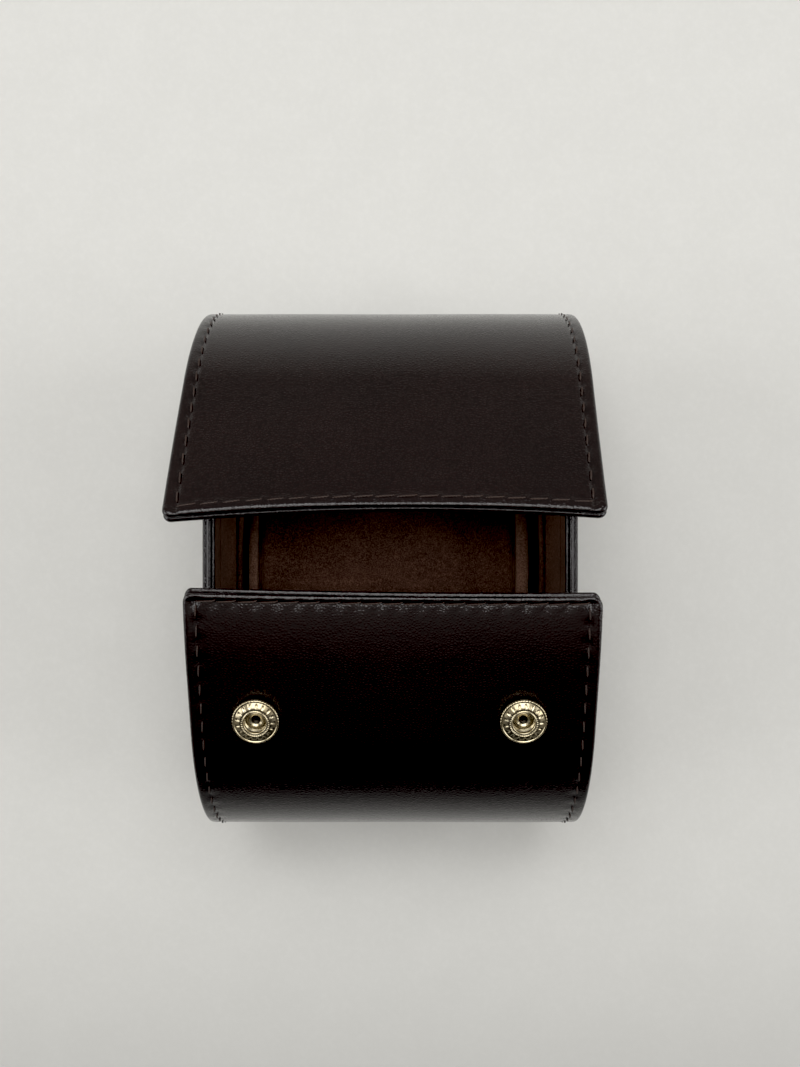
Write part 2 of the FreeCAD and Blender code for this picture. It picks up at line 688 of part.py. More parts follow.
def revolved(label, profile, place, sign, gap="0"):
    """Turned piece: a closed (radius, height) profile about its own axis, set on one snap's place.

    The gap is the formula of an angle that the turn leaves open.
    """
    body = new_body(label)
    sketch = new_sketch(body, f"{label}_profile", "XZ_Plane")
    points = [Vector(radius, height, 0) for radius, height in profile]
    count = len(points)
    sketch.addGeometry([Part.LineSegment(points[i], points[(i + 1) % count]) for i in range(count)], False)
    close_loop(sketch, 0, [(1, 2)] * count)
    turn = body.newObject("PartDesign::Revolution", f"{label}_turn")
    turn.Profile = sketch
    turn.ReferenceAxis = (sketch, ["V_Axis"])
    turn.setExpression("Angle", f"360 deg - {gap} * 1 deg")
    turn.Refine = False
    body.Placement = Placement(Vector(sign * SNAP_SIDE, 0, 0), Rotation()).multiply(place)
    body.setExpression("Placement.Base.x", f"{sign} * (Sizes.wrap_width / 2 - Sizes.snap_side_inset) * 1 mm")
    return body


def build_snap(name, sign):
    """Socket with its ring spring and eyelet on the front flap, stud with its post on the rear flap."""
    bore = size("socket_bore")
    floor = size("socket_floor")
    top = size("socket_height")
    rim = size("socket_radius")
    foot = size("socket_foot_radius")
    foot_top = size("socket_foot_height")
    wire = size("spring_wire")
    play = size("spring_play")
    groove = bore + 2 * (wire + play)
    groove_low = size("spring_level") - wire - play
    groove_high = size("spring_level") + wire + play
    sheet_ply = size("metal_sheet")
    barrel = size("eyelet_radius")
    hole = barrel + size("pierce_play")
    revolved(
        f"{name}_socket",
        [
            (hole, 0.0),
            (foot, 0.0),
            (foot, foot_top),
            (rim, foot_top + sheet_ply),
            (rim, top - sheet_ply),
            (rim - sheet_ply, top),
            (bore + sheet_ply, top),
            (bore, top - sheet_ply / 2),
            (bore, groove_high),
            (groove, groove_high),
            (groove, groove_low),
            (bore, groove_low),
            (bore, floor),
            (hole, floor),
        ],
        SOCKET_PLACE,
        sign,
    )
    eyelet_bore = size("eyelet_bore")
    flange = size("eyelet_flange")
    revolved(
        f"{name}_eyelet",
        [
            (eyelet_bore, -WRAP_PLY - sheet_ply),
            (flange - sheet_ply / 2, -WRAP_PLY - sheet_ply),
            (flange, -WRAP_PLY - sheet_ply / 2),
            (flange, -WRAP_PLY),
            (barrel, -WRAP_PLY),
            (barrel, floor),
            (size("eyelet_lip"), floor),
            (size("eyelet_lip"), floor + sheet_ply / 2),
            (barrel, floor + sheet_ply),
            (eyelet_bore, floor + sheet_ply / 2),
        ],
        SOCKET_PLACE,
        sign,
    )
    coil = bore + play + wire
    level = size("spring_level")
    wire_section = [(coil + wire * cosd(turn), level + wire * sind(turn)) for turn in range(0, 360, 60)]
    revolved(f"{name}_ring_spring", wire_section, SOCKET_PLACE, sign, "Sizes.spring_gap")

    plate = size("stud_flange_ply")
    knob = size("stud_knob")
    tip = plate + size("stud_rise")
    neck = size("stud_neck")
    shank = size("post_radius")
    socket_of_post = shank + size("pierce_play")
    post_end = tip - size("stud_cap")
    knob_low = plate + size("stud_rise") / 2
    revolved(
        f"{name}_stud",
        [
            (socket_of_post, 0.0),
            (size("stud_flange"), 0.0),
            (size("stud_flange"), plate / 2),
            (size("stud_flange") - plate / 2, plate),
            (neck, plate),
            (neck, (plate + knob_low) / 2),
            (knob, knob_low),
            (knob, tip - sheet_ply),
            (knob - sheet_ply, tip),
            (0.0, tip),
            (0.0, post_end),
            (socket_of_post, post_end),
        ],
        STUD_PLACE,
        sign,
    )
    head_top = -size("inner_ply") - size("board_ply") + size("board_fit")
    revolved(
        f"{name}_stud_post",
        [
            (0.0, head_top),
            (size("post_head"), head_top),
            (size("post_head"), head_top + sheet_ply),
            (shank, head_top + sheet_ply),
            (shank, post_end - size("board_fit")),
            (0.0, post_end - size("board_fit")),
        ],
        STUD_PLACE,
        sign,
    )


def write_parts():
    """Checks every piece and writes each one to its own file."""
    doc.recompute()
    for item in doc.Objects:
        if "Invalid" in item.State or "Error" in item.State:
            raise RuntimeError(f"{item.Label} failed: {item.State}")
    pieces = [item for item in doc.Objects if item.TypeId == "PartDesign::Body"]
    for piece in pieces:
        if piece.Shape.isNull() or not piece.Shape.isValid() or len(piece.Shape.Solids) != 1:
            raise RuntimeError(f"{piece.Label} is not one sound solid")
    os.makedirs("parts", exist_ok=True)
    for piece in pieces:
        piece.Shape.exportStep(f"parts/{piece.Label}.step")
        print(f"{piece.Label}: {piece.Shape.Volume:.1f} mm3")
    print(f"{len(pieces)} pieces")


upper_layers, lower_layers = build_wrap()
pierce_flaps(upper_layers, lower_layers)
for hand, direction in (("left", -1), ("right", 1)):
    build_end_wall(hand, direction)
    build_snap(hand, direction)
build_cushion()
write_parts()
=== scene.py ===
"""Dresses the open watch roll: leather wrap, suede lining, end walls, press snaps and loose cushion."""
import json
import logging
import math
from collections.abc import Callable
from dataclasses import dataclass, replace
from enum import Enum
from typing import ClassVar, Protocol

import bmesh
import bpy
import numpy as np
from mathutils import Matrix, Vector

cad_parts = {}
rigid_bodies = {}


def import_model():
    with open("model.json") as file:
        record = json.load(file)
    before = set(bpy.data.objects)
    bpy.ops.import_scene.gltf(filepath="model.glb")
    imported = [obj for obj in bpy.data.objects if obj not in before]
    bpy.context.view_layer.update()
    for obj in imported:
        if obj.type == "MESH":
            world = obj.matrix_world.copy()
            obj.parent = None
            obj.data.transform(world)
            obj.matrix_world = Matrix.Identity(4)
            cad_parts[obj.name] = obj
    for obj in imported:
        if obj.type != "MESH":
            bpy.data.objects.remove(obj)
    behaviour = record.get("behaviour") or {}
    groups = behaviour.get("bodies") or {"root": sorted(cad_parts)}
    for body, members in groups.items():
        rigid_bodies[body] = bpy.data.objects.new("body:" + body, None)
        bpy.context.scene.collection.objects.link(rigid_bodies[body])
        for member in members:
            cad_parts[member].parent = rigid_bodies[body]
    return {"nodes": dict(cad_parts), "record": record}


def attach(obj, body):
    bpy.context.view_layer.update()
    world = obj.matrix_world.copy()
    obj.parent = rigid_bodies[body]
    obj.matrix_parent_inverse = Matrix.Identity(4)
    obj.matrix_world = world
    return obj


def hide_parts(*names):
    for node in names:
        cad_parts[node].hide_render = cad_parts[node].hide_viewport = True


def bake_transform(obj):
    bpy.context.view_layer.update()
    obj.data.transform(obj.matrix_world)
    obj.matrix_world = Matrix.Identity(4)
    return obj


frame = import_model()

LOG = logging.getLogger("watch_roll")
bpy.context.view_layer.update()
MM = 0.001
TURN = 2 * math.pi

Colour = tuple[float, float, float, float]
Point = tuple[float, float, float]
Pairs = tuple[tuple[float, float], ...]
Faces = list[tuple[int, ...]]
Piece = bpy.types.Object
Skin = bpy.types.Material
Socket = bpy.types.NodeSocket
Outputs = bpy.types.NodeOutputs
Value = Socket | float | tuple[float, ...]


class Face(Enum):
    """Which face of the wrap a sheet shows."""

    OUTER = 1
    INNER = -1

    @property
    def ply(self) -> str:
        """Name of the ply with this face, as the frame's nodes have it."""
        return "leather" if self is Face.OUTER else "lining"


class End(Enum):
    """One of the two ends of the roll."""

    LEFT = -1
    RIGHT = 1

    @property
    def word(self) -> str:
        """Name of this end, as the frame's nodes have it."""
        return self.name.lower()


class Builder(Protocol):
    """Sub-assembly that builds its own pieces."""

    def build(self) -> None:
        """Builds the pieces."""


def new_object(
    name: str, vertices: np.ndarray, faces: Faces, skins: list[Skin], slots: list[int] | None = None
) -> Piece:
    """Makes a smooth mesh object.

    Args:
        name: name of the piece.
        vertices: points, one row each, in millimetres.
        faces: tuples of point numbers.
        skins: materials of the piece.
        slots: material number of each face, or None for the first one.

    Returns:
        The new object, linked to the scene.
    """
    mesh = bpy.data.meshes.new(name)
    mesh.from_pydata((np.asarray(vertices, float) * MM).tolist(), [], faces)
    for skin in skins:
        mesh.materials.append(skin)
    if slots is not None:
        mesh.polygons.foreach_set("material_index", np.asarray(slots, np.int32))
    turned = bmesh.new()
    turned.from_mesh(mesh)
    bmesh.ops.recalc_face_normals(turned, faces=turned.faces)
    turned.to_mesh(mesh)
    turned.free()
    mesh.shade_smooth()
    piece = bpy.data.objects.new(name, mesh)
    bpy.context.scene.collection.objects.link(piece)
    return piece


def ring_faces(rings: int, count: int, first: int = 0, closed: bool = False, capped: bool = False) -> Faces:
    """Faces through rings of points that follow each other.

    Args:
        rings: number of rings.
        count: points of one ring.
        first: number of the first point.
        closed: whether the last ring joins the first one.
        capped: whether the first two faces fill both end rings.

    Returns:
        The faces, ring by ring.
    """
    starts = [first + ring * count for ring in range(rings)]
    faces = [tuple(range(start, start + count)) for start in (starts[0], starts[-1])] if capped else []
    for low, high in zip(starts, starts[1:] + starts[:1] * closed):
        for step in range(count):
            following = (step + 1) % count
            faces.append((low + step, low + following, high + following, high + step))
    return faces


def tubes(lines: np.ndarray, normals: np.ndarray, radius: float, sides: int = 6) -> tuple[np.ndarray, Faces]:
    """Closed tubes along many short lines at once.

    Args:
        lines: points of every line, shaped (lines, points, 3).
        normals: direction away from the surface at every point, shaped alike.
        radius: radius of the tubes, drawn in at both ends.
        sides: number of sides of a tube.

    Returns:
        Points and faces of all the tubes.
    """
    count, steps = lines.shape[:2]
    along = np.gradient(lines, axis=1)
    along /= np.linalg.norm(along, axis=2, keepdims=True)
    across = np.cross(along, normals)
    across /= np.linalg.norm(across, axis=2, keepdims=True)
    up = np.cross(across, along)
    swell = radius * np.sqrt(np.clip(1.0 - 0.8 * np.linspace(-1.0, 1.0, steps) ** 4, 0.05, 1.0))
    turn = np.arange(sides) * TURN / sides
    ring = np.cos(turn)[:, None] * across[:, :, None, :] + np.sin(turn)[:, None] * up[:, :, None, :]
    points = lines[:, :, None, :] + ring * swell[None, :, None, None]
    faces: Faces = []
    for line in range(count):
        faces += ring_faces(steps, sides, line * steps * sides, capped=True)
    return points.reshape(-1, 3), faces


def smoothstep(value: np.ndarray) -> np.ndarray:
    """Smooth rise from 0 to 1."""
    held = np.clip(value, 0.0, 1.0)
    return held * held * (3.0 - 2.0 * held)


def bell(value: np.ndarray, width: float | np.ndarray) -> np.ndarray:
    """Bell curve that is 1 at 0."""
    return np.exp(-((value / width) ** 2))


def spaced(low: float, high: float, pitch: float) -> np.ndarray:
    """Even steps between two values, no wider than a pitch."""
    return np.linspace(low, high, max(2, int(math.ceil((high - low) / pitch)) + 1))


def evenly(loop: np.ndarray, count: int, *others: np.ndarray) -> list[np.ndarray]:
    """Even points round a closed loop.

    Args:
        loop: points of the loop, the last one like the first.
        count: number of even points.
        others: rows of values at the loop's points.

    Returns:
        The even points, and then the rows of the other values at them.
    """
    length = np.concatenate([[0.0], np.cumsum(np.linalg.norm(np.diff(loop, axis=0), axis=1))])
    at = np.linspace(0.0, length[-1], count, endpoint=False)
    return [np.stack([np.interp(at, length, part) for part in rows.T], 1) for rows in (loop, *others)]


@dataclass(frozen=True)
class WrapPath:
    """Section of one half of the open wrap, by the length along its outer face from the middle of the base.

    Attributes:
        sign: +1 behind the middle, -1 before it.
        arc_radius: outer radius of the wall.
        slope: slope of the flap, in degrees.
        straight: length of the flap past the wall.
        half_depth: furthest reach from the middle.
        bend_radius: outer radius where the base turns up.
        lip: last stretch of the flap, which curls.
        curl: how far the lip curls up, in degrees.
        hem: sewn edge of the lip.
        flare: how far the hem turns up, in degrees.
    """

    sign: int
    arc_radius: float
    slope: float
    straight: float
    half_depth: float = 64.0
    bend_radius: float = 28.0
    lip: float = 10.0
    curl: float = 2.0
    hem: float = 2.9
    flare: float = 1.0

    def spans(self) -> Pairs:
        """Spans of one curvature each, from the middle of the base to the hem.

        Returns:
            (length where the span begins, curvature) pairs.
        """
        flat = self.half_depth - self.bend_radius
        wall = flat + self.bend_radius * math.pi / 2
        flap = wall + self.arc_radius * math.radians(90.0 - self.slope)
        end = flap + self.straight
        return (
            (0.0, 0.0),
            (flat, 1.0 / self.bend_radius),
            (wall, 1.0 / self.arc_radius),
            (flap, 0.0),
            (end - self.lip, -math.radians(self.curl) / self.lip),
            (end - self.hem, -math.radians(self.flare) / self.hem),
        )

    @property
    def length(self) -> float:
        """Length up to the free edge."""
        return self.spans()[-1][0] + self.hem

    @staticmethod
    def run(length: np.ndarray, heading: float, curve: float) -> np.ndarray:
        """Way covered along a span of one curvature.

        Args:
            length: length along the span.
            heading: direction at its start, in radians.
            curve: its curvature.

        Returns:
            The way, with a last axis of (out, up).
        """
        if curve == 0.0:
            return np.stack([length * math.cos(heading), length * math.sin(heading)], -1)
        turned = heading + curve * length
        return np.stack([np.sin(turned) - math.sin(heading), math.cos(heading) - np.cos(turned)], -1) / curve

    def section(self, along: np.ndarray) -> tuple[np.ndarray, np.ndarray]:
        """Points and outward normals of the outer face.

        Args:
            along: lengths from the middle of the base.

        Returns:
            Points and normals, each with a last axis of (Y, Z).
        """
        spot, way = np.zeros((*along.shape, 2)), np.zeros(along.shape)
        corner, heading = np.zeros(2), 0.0
        spans = self.spans()
        for (start, curve), (stop, _) in zip(spans, spans[1:] + ((self.length, 0.0),)):
            here = (along >= start) | (start == 0.0)
            spot[here] = corner + self.run(along[here] - start, heading, curve)
            way[here] = heading + curve * (along[here] - start)
            corner = corner + self.run(np.array(stop - start), heading, curve)
            heading += curve * (stop - start)
        mirror = np.array([self.sign, 1.0])
        return spot * mirror, np.stack([np.sin(way), -np.cos(way)], -1) * mirror


REAR_PATH = WrapPath(sign=1, arc_radius=47.8, slope=33.6, straight=34.5, curl=1.0)
FRONT_PATH = WrapPath(
    sign=-1, arc_radius=37.4, slope=15.8, straight=32.6, lip=16.0, curl=-8.0, hem=1.5, flare=26.0
)
SNAP_X = 29.6
SNAP_ALONG = FRONT_PATH.length - 28.0


@dataclass(frozen=True)
class Relief:
    """Unevenness that sewing leaves on a face of the wrap, in millimetres.

    Attributes:
        inset: stitches from a side edge.
        free_inset: stitches from a free edge.
        pitch: one stitch to the next.
        slant: how far a stitch of the free edge leans towards that edge.
        channel: depth of the groove that the stitches lie in.
        gather: share of the dents' depth that the groove has besides.
        side_pucker: depth of the dents at the holes along the sides.
        free_pucker: depth of the dents at the holes along a free edge.
        pucker_reach: how far those dents fade inwards.
        hem_reach: how far they fade towards the edge.
        roll: swell of the hem between the stitches and the edge.
        plump: swell of the padded face beside the stitches.
        plump_reach: distance of that swell's crest from the stitches.
        drift: height of the slow waves over the face.
    """

    inset: float = 2.8
    free_inset: float = 2.1
    pitch: float = 4.442
    slant: float = 0.16
    channel: float = 0.2
    gather: float = 0.8
    side_pucker: float = 0.08
    free_pucker: float = 0.1
    pucker_reach: float = 1.2
    hem_reach: float = 0.9
    roll: float = 0.05
    plump: float = 0.12
    plump_reach: float = 2.6
    drift: float = 0.1

    def edge(self, distance: np.ndarray, inset: float, along: np.ndarray, pucker: float) -> np.ndarray:
        """Height beside one sewn edge.

        Args:
            distance: distance from the edge.
            inset: stitches from the edge.
            along: length along the edge, 0 at a hole.
            pucker: depth of the dents at the holes, or less than 0 for leather that the needle raised.

        Returns:
            Height above the plain face.
        """
        off = distance - inset
        groove = (self.channel + self.gather * pucker) * bell(off + 0.15, 0.5)
        sharp, shift = (2, 0.0) if pucker > 0 else (9, 0.55)
        holes = (0.5 + 0.5 * np.cos(TURN * (along + 0.3 * off) / self.pitch)) ** sharp
        dents = pucker * holes * bell(off - shift, np.where(off < 0, self.hem_reach, self.pucker_reach))
        inner = np.clip(off, 0.0, None) / self.plump_reach
        swell = self.roll * bell(distance - 1.3, 0.8) + self.plump * inner * np.exp(1.0 - inner)
        return swell - groove - dents

    def waves(self, x: np.ndarray, along: np.ndarray) -> np.ndarray:
        """Slow waves of hand-laid leather.

        Args:
            x: places along the roll.
            along: lengths along the path.

        Returns:
            Height of the waves.
        """
        first = np.sin(x / 13.1 + 0.7) * np.sin(along / 16.3 + 1.1)
        second = np.sin(x / 7.9 + along / 10.7 + 2.3)
        return self.drift * (0.65 * first + 0.35 * second)


LINING_RELIEF = Relief(channel=0.16, side_pucker=0.05, free_pucker=0.06, drift=0.14)
LEATHER_RELIEF = Relief(
    slant=0.0, channel=0.12, side_pucker=0.2, free_pucker=0.07, pucker_reach=0.708, plump=0.03
)
UPPER_RELIEF = replace(LEATHER_RELIEF, slant=-0.34, channel=0.07, free_pucker=-0.16, pucker_reach=0.4)
LOWER_RELIEF = replace(
    LEATHER_RELIEF, free_inset=1.3, slant=0.3, channel=0.1, gather=0.1, free_pucker=0.24, pucker_reach=1.456,
    plump=0.02,
)


@dataclass(frozen=True)
class Stretch:
    """One moving stretch of the wrap: where it lies, which bodies it joins and the form of its free edge.

    Attributes:
        name: first word of its pieces.
        path: half of the wrap that it lies on.
        start: length along the path where it begins.
        end: length along the path where it ends.
        bodies: body at its start and body at its end; not used.
        turn: points in millimetres between which it goes from one body to the other; not used.
        nodes: solids that it covers, without their ply's name.
        relief: unevenness of its leather.
        free: whether it ends in a free edge.
        bow: how much further the free edge reaches at the sides than in the middle.
        skew: how much further it reaches at the left side than in the middle.
        sway: how far the stretch leans to the right.
        lean_from: length along the path where that lean begins.
        spread: how much wider each side is at the free edge.
        step: how far the lining shows past the leather at the free edge.
        dimples: (x, along) places where a snap draws the leather in.
    """

    name: str
    path: WrapPath
    start: float
    end: float
    bodies: tuple[str, str]
    turn: tuple[Point, Point]
    nodes: tuple[str, ...]
    relief: Relief = LEATHER_RELIEF
    free: bool = True
    bow: float = 0.0
    skew: float = 0.0
    sway: float = 0.0
    lean_from: float = 0.0
    spread: float = 0.0
    step: float = 0.0
    dimples: Pairs = ()


@dataclass(frozen=True)
class WrapSheet:
    """One ply of a stretch of the wrap, with rounded edges and the relief of its stitches.

    Attributes:
        stretch: the stretch.
        face: whether the ply is the outer leather or the inner lining.
        half_width: half of its width.
        corner: rounding of its free corners.
        ply: its thickness.
        lip_ply: its thickness at a free edge.
        band: width of the leather edge round the suede of a lining.
        near: distance from the outline where the plain mesh begins.
        lean_reach: length over which the stretch leans and spreads.
        edge_reach: length over which the form of the free edge sets in.
        skive: length over which the ply thins.
        settle: distance from the outline over which the relief sets in.
        wave_from: length along the path where the slow waves begin.
        wave_reach: length over which they grow.
        dent: depth of a dimple.
        dent_radius: radius of its flat middle.
        dent_fade: width of its slope.
        shown: share of the pitch that a stitch of the sides takes up.
        arch: rise of a stitch between its holes.
        pitches: spacing of the plain mesh of the leather and of the lining.
        coarse: columns of the shown face to one of the inner side.
        rim: distances from the outline of the mesh over the rounded edge.
        beside: distances from the outline of the mesh over the stitches.
    """

    stretch: Stretch
    face: Face
    half_width: float = 45.0
    corner: float = 2.0
    ply: float = 1.5
    lip_ply: float = 1.45
    band: float = 1.5
    near: float = 6.2
    lean_reach: float = 60.0
    edge_reach: float = 24.0
    skive: float = 7.0
    settle: float = 0.8
    wave_from: float = 30.0
    wave_reach: float = 25.0
    dent: float = 0.1
    dent_radius: float = 4.4
    dent_fade: float = 2.0
    shown: float = 0.62
    arch: float = 0.16
    pitches: tuple[float, float] = (0.85, 1.2)
    coarse: int = 6
    rim: tuple[float, ...] = (0.0, 0.04, 0.14, 0.3, 0.5, 0.75)
    beside: tuple[float, ...] = (1.05, 1.4, 1.75, 2.1, 2.4, 2.65, 2.9, 3.2, 3.6, 4.1, 4.7, 5.4)

    @property
    def relief(self) -> Relief:
        """Unevenness of the shown face."""
        return self.stretch.relief if self.face is Face.OUTER else LINING_RELIEF

    @property
    def end(self) -> float:
        """Length along the path where the ply ends."""
        return self.stretch.end + (self.stretch.step if self.face is Face.INNER else 0.0)

    def nearing(self, along: np.ndarray, reach: float) -> np.ndarray:
        """Smooth rise from 0 to 1 over the last reach of the ply."""
        return smoothstep((along - self.end + reach) / reach)

    def edge_shift(self, x: np.ndarray, along: np.ndarray) -> np.ndarray:
        """Form of the free edge, which is bowed and skewed.

        Args:
            x: places along the roll.
            along: lengths along the path.

        Returns:
            How far the points move along the path.
        """
        share = x / self.half_width
        form = self.stretch.bow * (share**2 - 0.33) - self.stretch.skew * share
        return form * self.nearing(along, self.edge_reach)

    def height(self, x: np.ndarray, along: np.ndarray) -> np.ndarray:
        """Height of the relief over the plain face.

        Args:
            x: places along the roll.
            along: lengths along the path, before the shift of the free edge.

        Returns:
            Height away from the ply's middle.
        """
        relief = self.relief
        side = self.half_width - np.abs(x)
        down = self.stretch.path.length - relief.free_inset - along
        rise = relief.edge(side, relief.inset, down, relief.side_pucker)
        rise = rise + relief.waves(x, along) * smoothstep((along - self.wave_from) / self.wave_reach)
        if self.stretch.free:
            across = x + self.half_width - relief.inset
            rise = rise + relief.edge(self.end - along, relief.free_inset, across, relief.free_pucker)
        for spot_x, spot_along in self.stretch.dimples if self.face is Face.OUTER else ():
            away = np.hypot(x - spot_x, along - spot_along) - self.dent_radius
            rise = rise - self.dent * bell(np.clip(away, 0.0, None), self.dent_fade)
        return rise

    def thickness(self, along: np.ndarray) -> np.ndarray:
        """Thickness of the ply, skived towards a free edge."""
        thinned = (self.lip_ply - self.ply) * self.stretch.free
        return self.ply + thinned * self.nearing(along, self.skive)

    def place(self, x: np.ndarray, along: np.ndarray, level: np.ndarray) -> tuple[np.ndarray, np.ndarray]:
        """Points of the ply.

        Args:
            x: places along the roll.
            along: lengths along the path, before the shift of the free edge.
            level: height from the ply's inner side (0) to its shown face (its thickness) and above.

        Returns:
            Points and the directions away from the shown face.
        """
        stretch = self.stretch
        spot, out = stretch.path.section(along + self.edge_shift(x, along))
        away = level - self.ply if self.face is Face.OUTER else -self.ply - level
        leaning = x + stretch.sway * smoothstep((along - stretch.lean_from) / self.lean_reach)
        leaning = leaning + stretch.spread * x / self.half_width * self.nearing(along, self.lean_reach)
        points = np.concatenate([leaning[..., None], spot + out * away[..., None]], -1)
        return points, np.concatenate([np.zeros_like(x)[..., None], out * self.face.value], -1)

    def stations(self) -> tuple[np.ndarray, np.ndarray]:
        """Places of the mesh, closer together near the edges.

        Returns:
            Its columns along the roll and its rows along the path.
        """
        pitch = self.pitches[0 if self.face is Face.OUTER else 1]
        edge = np.array(self.rim + self.beside)
        inner = spaced(self.near - self.half_width, self.half_width - self.near, pitch)
        columns = np.concatenate([edge - self.half_width, inner, (self.half_width - edge)[::-1]])
        if not self.stretch.free:
            return columns, spaced(self.stretch.start, self.end, pitch)
        plain = spaced(self.stretch.start, self.end - self.near, pitch)
        return columns, np.concatenate([plain, (self.end - edge)[::-1]])

    def mesh(self) -> tuple[np.ndarray, Faces, list[int]]:
        """Mesh of the ply with its rounded edges.

        Returns:
            Points, faces and material numbers.
        """
        x, along = np.meshgrid(*self.stations())
        gap = self.half_width - np.abs(x)
        if self.stretch.free:
            past_s = along - (self.end - self.corner)
            into = np.clip(past_s, 0.0, self.corner)
            narrow = self.corner - np.sqrt(self.corner**2 - into**2)
            x = x * (self.half_width - narrow) / self.half_width
            past_x = np.abs(x) - (self.half_width - self.corner)
            round_gap = self.corner - np.hypot(np.clip(past_x, 0, None), np.clip(past_s, 0, None))
            plain_gap = np.minimum(self.end - along, self.half_width - np.abs(x))
            gap = np.where((past_x > 0) & (past_s > 0), round_gap, plain_gap)
        thick = self.thickness(along)
        radius = thick / 2
        inside = np.clip(radius - gap, 0.0, radius)
        fall = radius - np.sqrt(np.clip(radius**2 - inside**2, 0.0, None))
        top, _ = self.place(x, along, thick - fall + smoothstep(gap / self.settle) * self.height(x, along))
        under, _ = self.place(x, along, fall)
        return self.sew(top, under, gap)

    def sew(self, top: np.ndarray, under: np.ndarray, gap: np.ndarray) -> tuple[np.ndarray, Faces, list[int]]:
        """Joins the shown face and the coarser inner side of the ply at their outline.

        Args:
            top: points of the shown face, by row and column.
            under: points of the inner side, by row and column.
            gap: distance of each point from the outline.

        Returns:
            Points, faces and material numbers.
        """
        rows, columns = gap.shape
        number = np.arange(gap.size).reshape(gap.shape)
        here, beyond = slice(None, -1), slice(1, None)
        around = ((here, here), (here, beyond), (beyond, beyond), (beyond, here))
        faces = [tuple(quad) for quad in np.stack([number[at] for at in around], -1).reshape(-1, 4).tolist()]
        suede = np.min([gap[at] for at in around], axis=0).ravel() >= self.band
        slots = (suede & (self.face is Face.INNER)).astype(int).tolist()
        rim, every = len(self.rim), list(range(columns))
        few = [c for c in every if c < rim or c >= columns - rim or (c - rim) % self.coarse == 0]
        full_from = rows - rim if self.stretch.free else rows
        used: dict[tuple[int, int], int] = {}
        extra: list[np.ndarray] = []

        def below(row: int, column: int) -> int:
            """Finds a point of the inner side, which shares its outline with the shown face.

            Args:
                row: row of the mesh.
                column: column of the mesh.

            Returns:
                Number of the point.
            """
            if column in (0, columns - 1) or (self.stretch.free and row == rows - 1):
                return int(number[row, column])
            if (row, column) not in used:
                used[row, column] = number.size + len(extra)
                extra.append(under[row, column])
            return used[row, column]

        for row in range(rows - 1):
            low, high = (few if level < full_from else every for level in (row, row + 1))
            for first, second in zip(low, low[1:]):
                between = [column for column in high if first <= column <= second]
                loop = [below(row, first), below(row, second)]
                loop += [below(row + 1, column) for column in reversed(between)]
                if len(set(loop)) > 2:
                    faces.append(tuple(dict.fromkeys(loop)))
                    slots.append(0)
        return np.concatenate([top.reshape(-1, 3), np.array(extra)]), faces, slots

    def stitch_lines(self) -> tuple[np.ndarray, np.ndarray]:
        """Thread between the holes, along the sides and the free edge.

        Returns:
            Short lines of points, and the directions away from the face.
        """
        relief, stretch = self.relief, self.stretch
        inset, pitch = relief.inset, relief.pitch
        share = np.linspace(0.02, 0.98, 11)
        shown = self.shown * (share - 0.5)
        holes = stretch.path.length - relief.free_inset - pitch * np.arange(0, 60)
        holes = holes[(holes - pitch > stretch.start - 0.5) & (holes <= self.end + 1e-6)]
        x_lines, s_lines = [], []
        for hole in holes:
            for side in (-1.0, 1.0):
                x_lines.append(side * (self.half_width - inset + 0.36 * shown))
                s_lines.append(hole - pitch * (0.5 + shown))
        if stretch.free:
            hook = smoothstep((share - 0.84) / 0.12)
            edge_line = self.end - relief.free_inset + relief.slant * (share - 0.5 + 0.8 * hook)
            across = inset - self.half_width
            while across + pitch <= self.half_width - inset + 1e-6:
                x_lines.append(across + pitch * share)
                s_lines.append(edge_line)
                across += pitch
        x, along = np.array(x_lines), np.array(s_lines)
        arch = self.arch * np.sin(math.pi * (share - 0.02) / 0.96) ** 0.4 - 0.02
        return self.place(x, along, self.thickness(along) - relief.channel * 0.7 + arch)


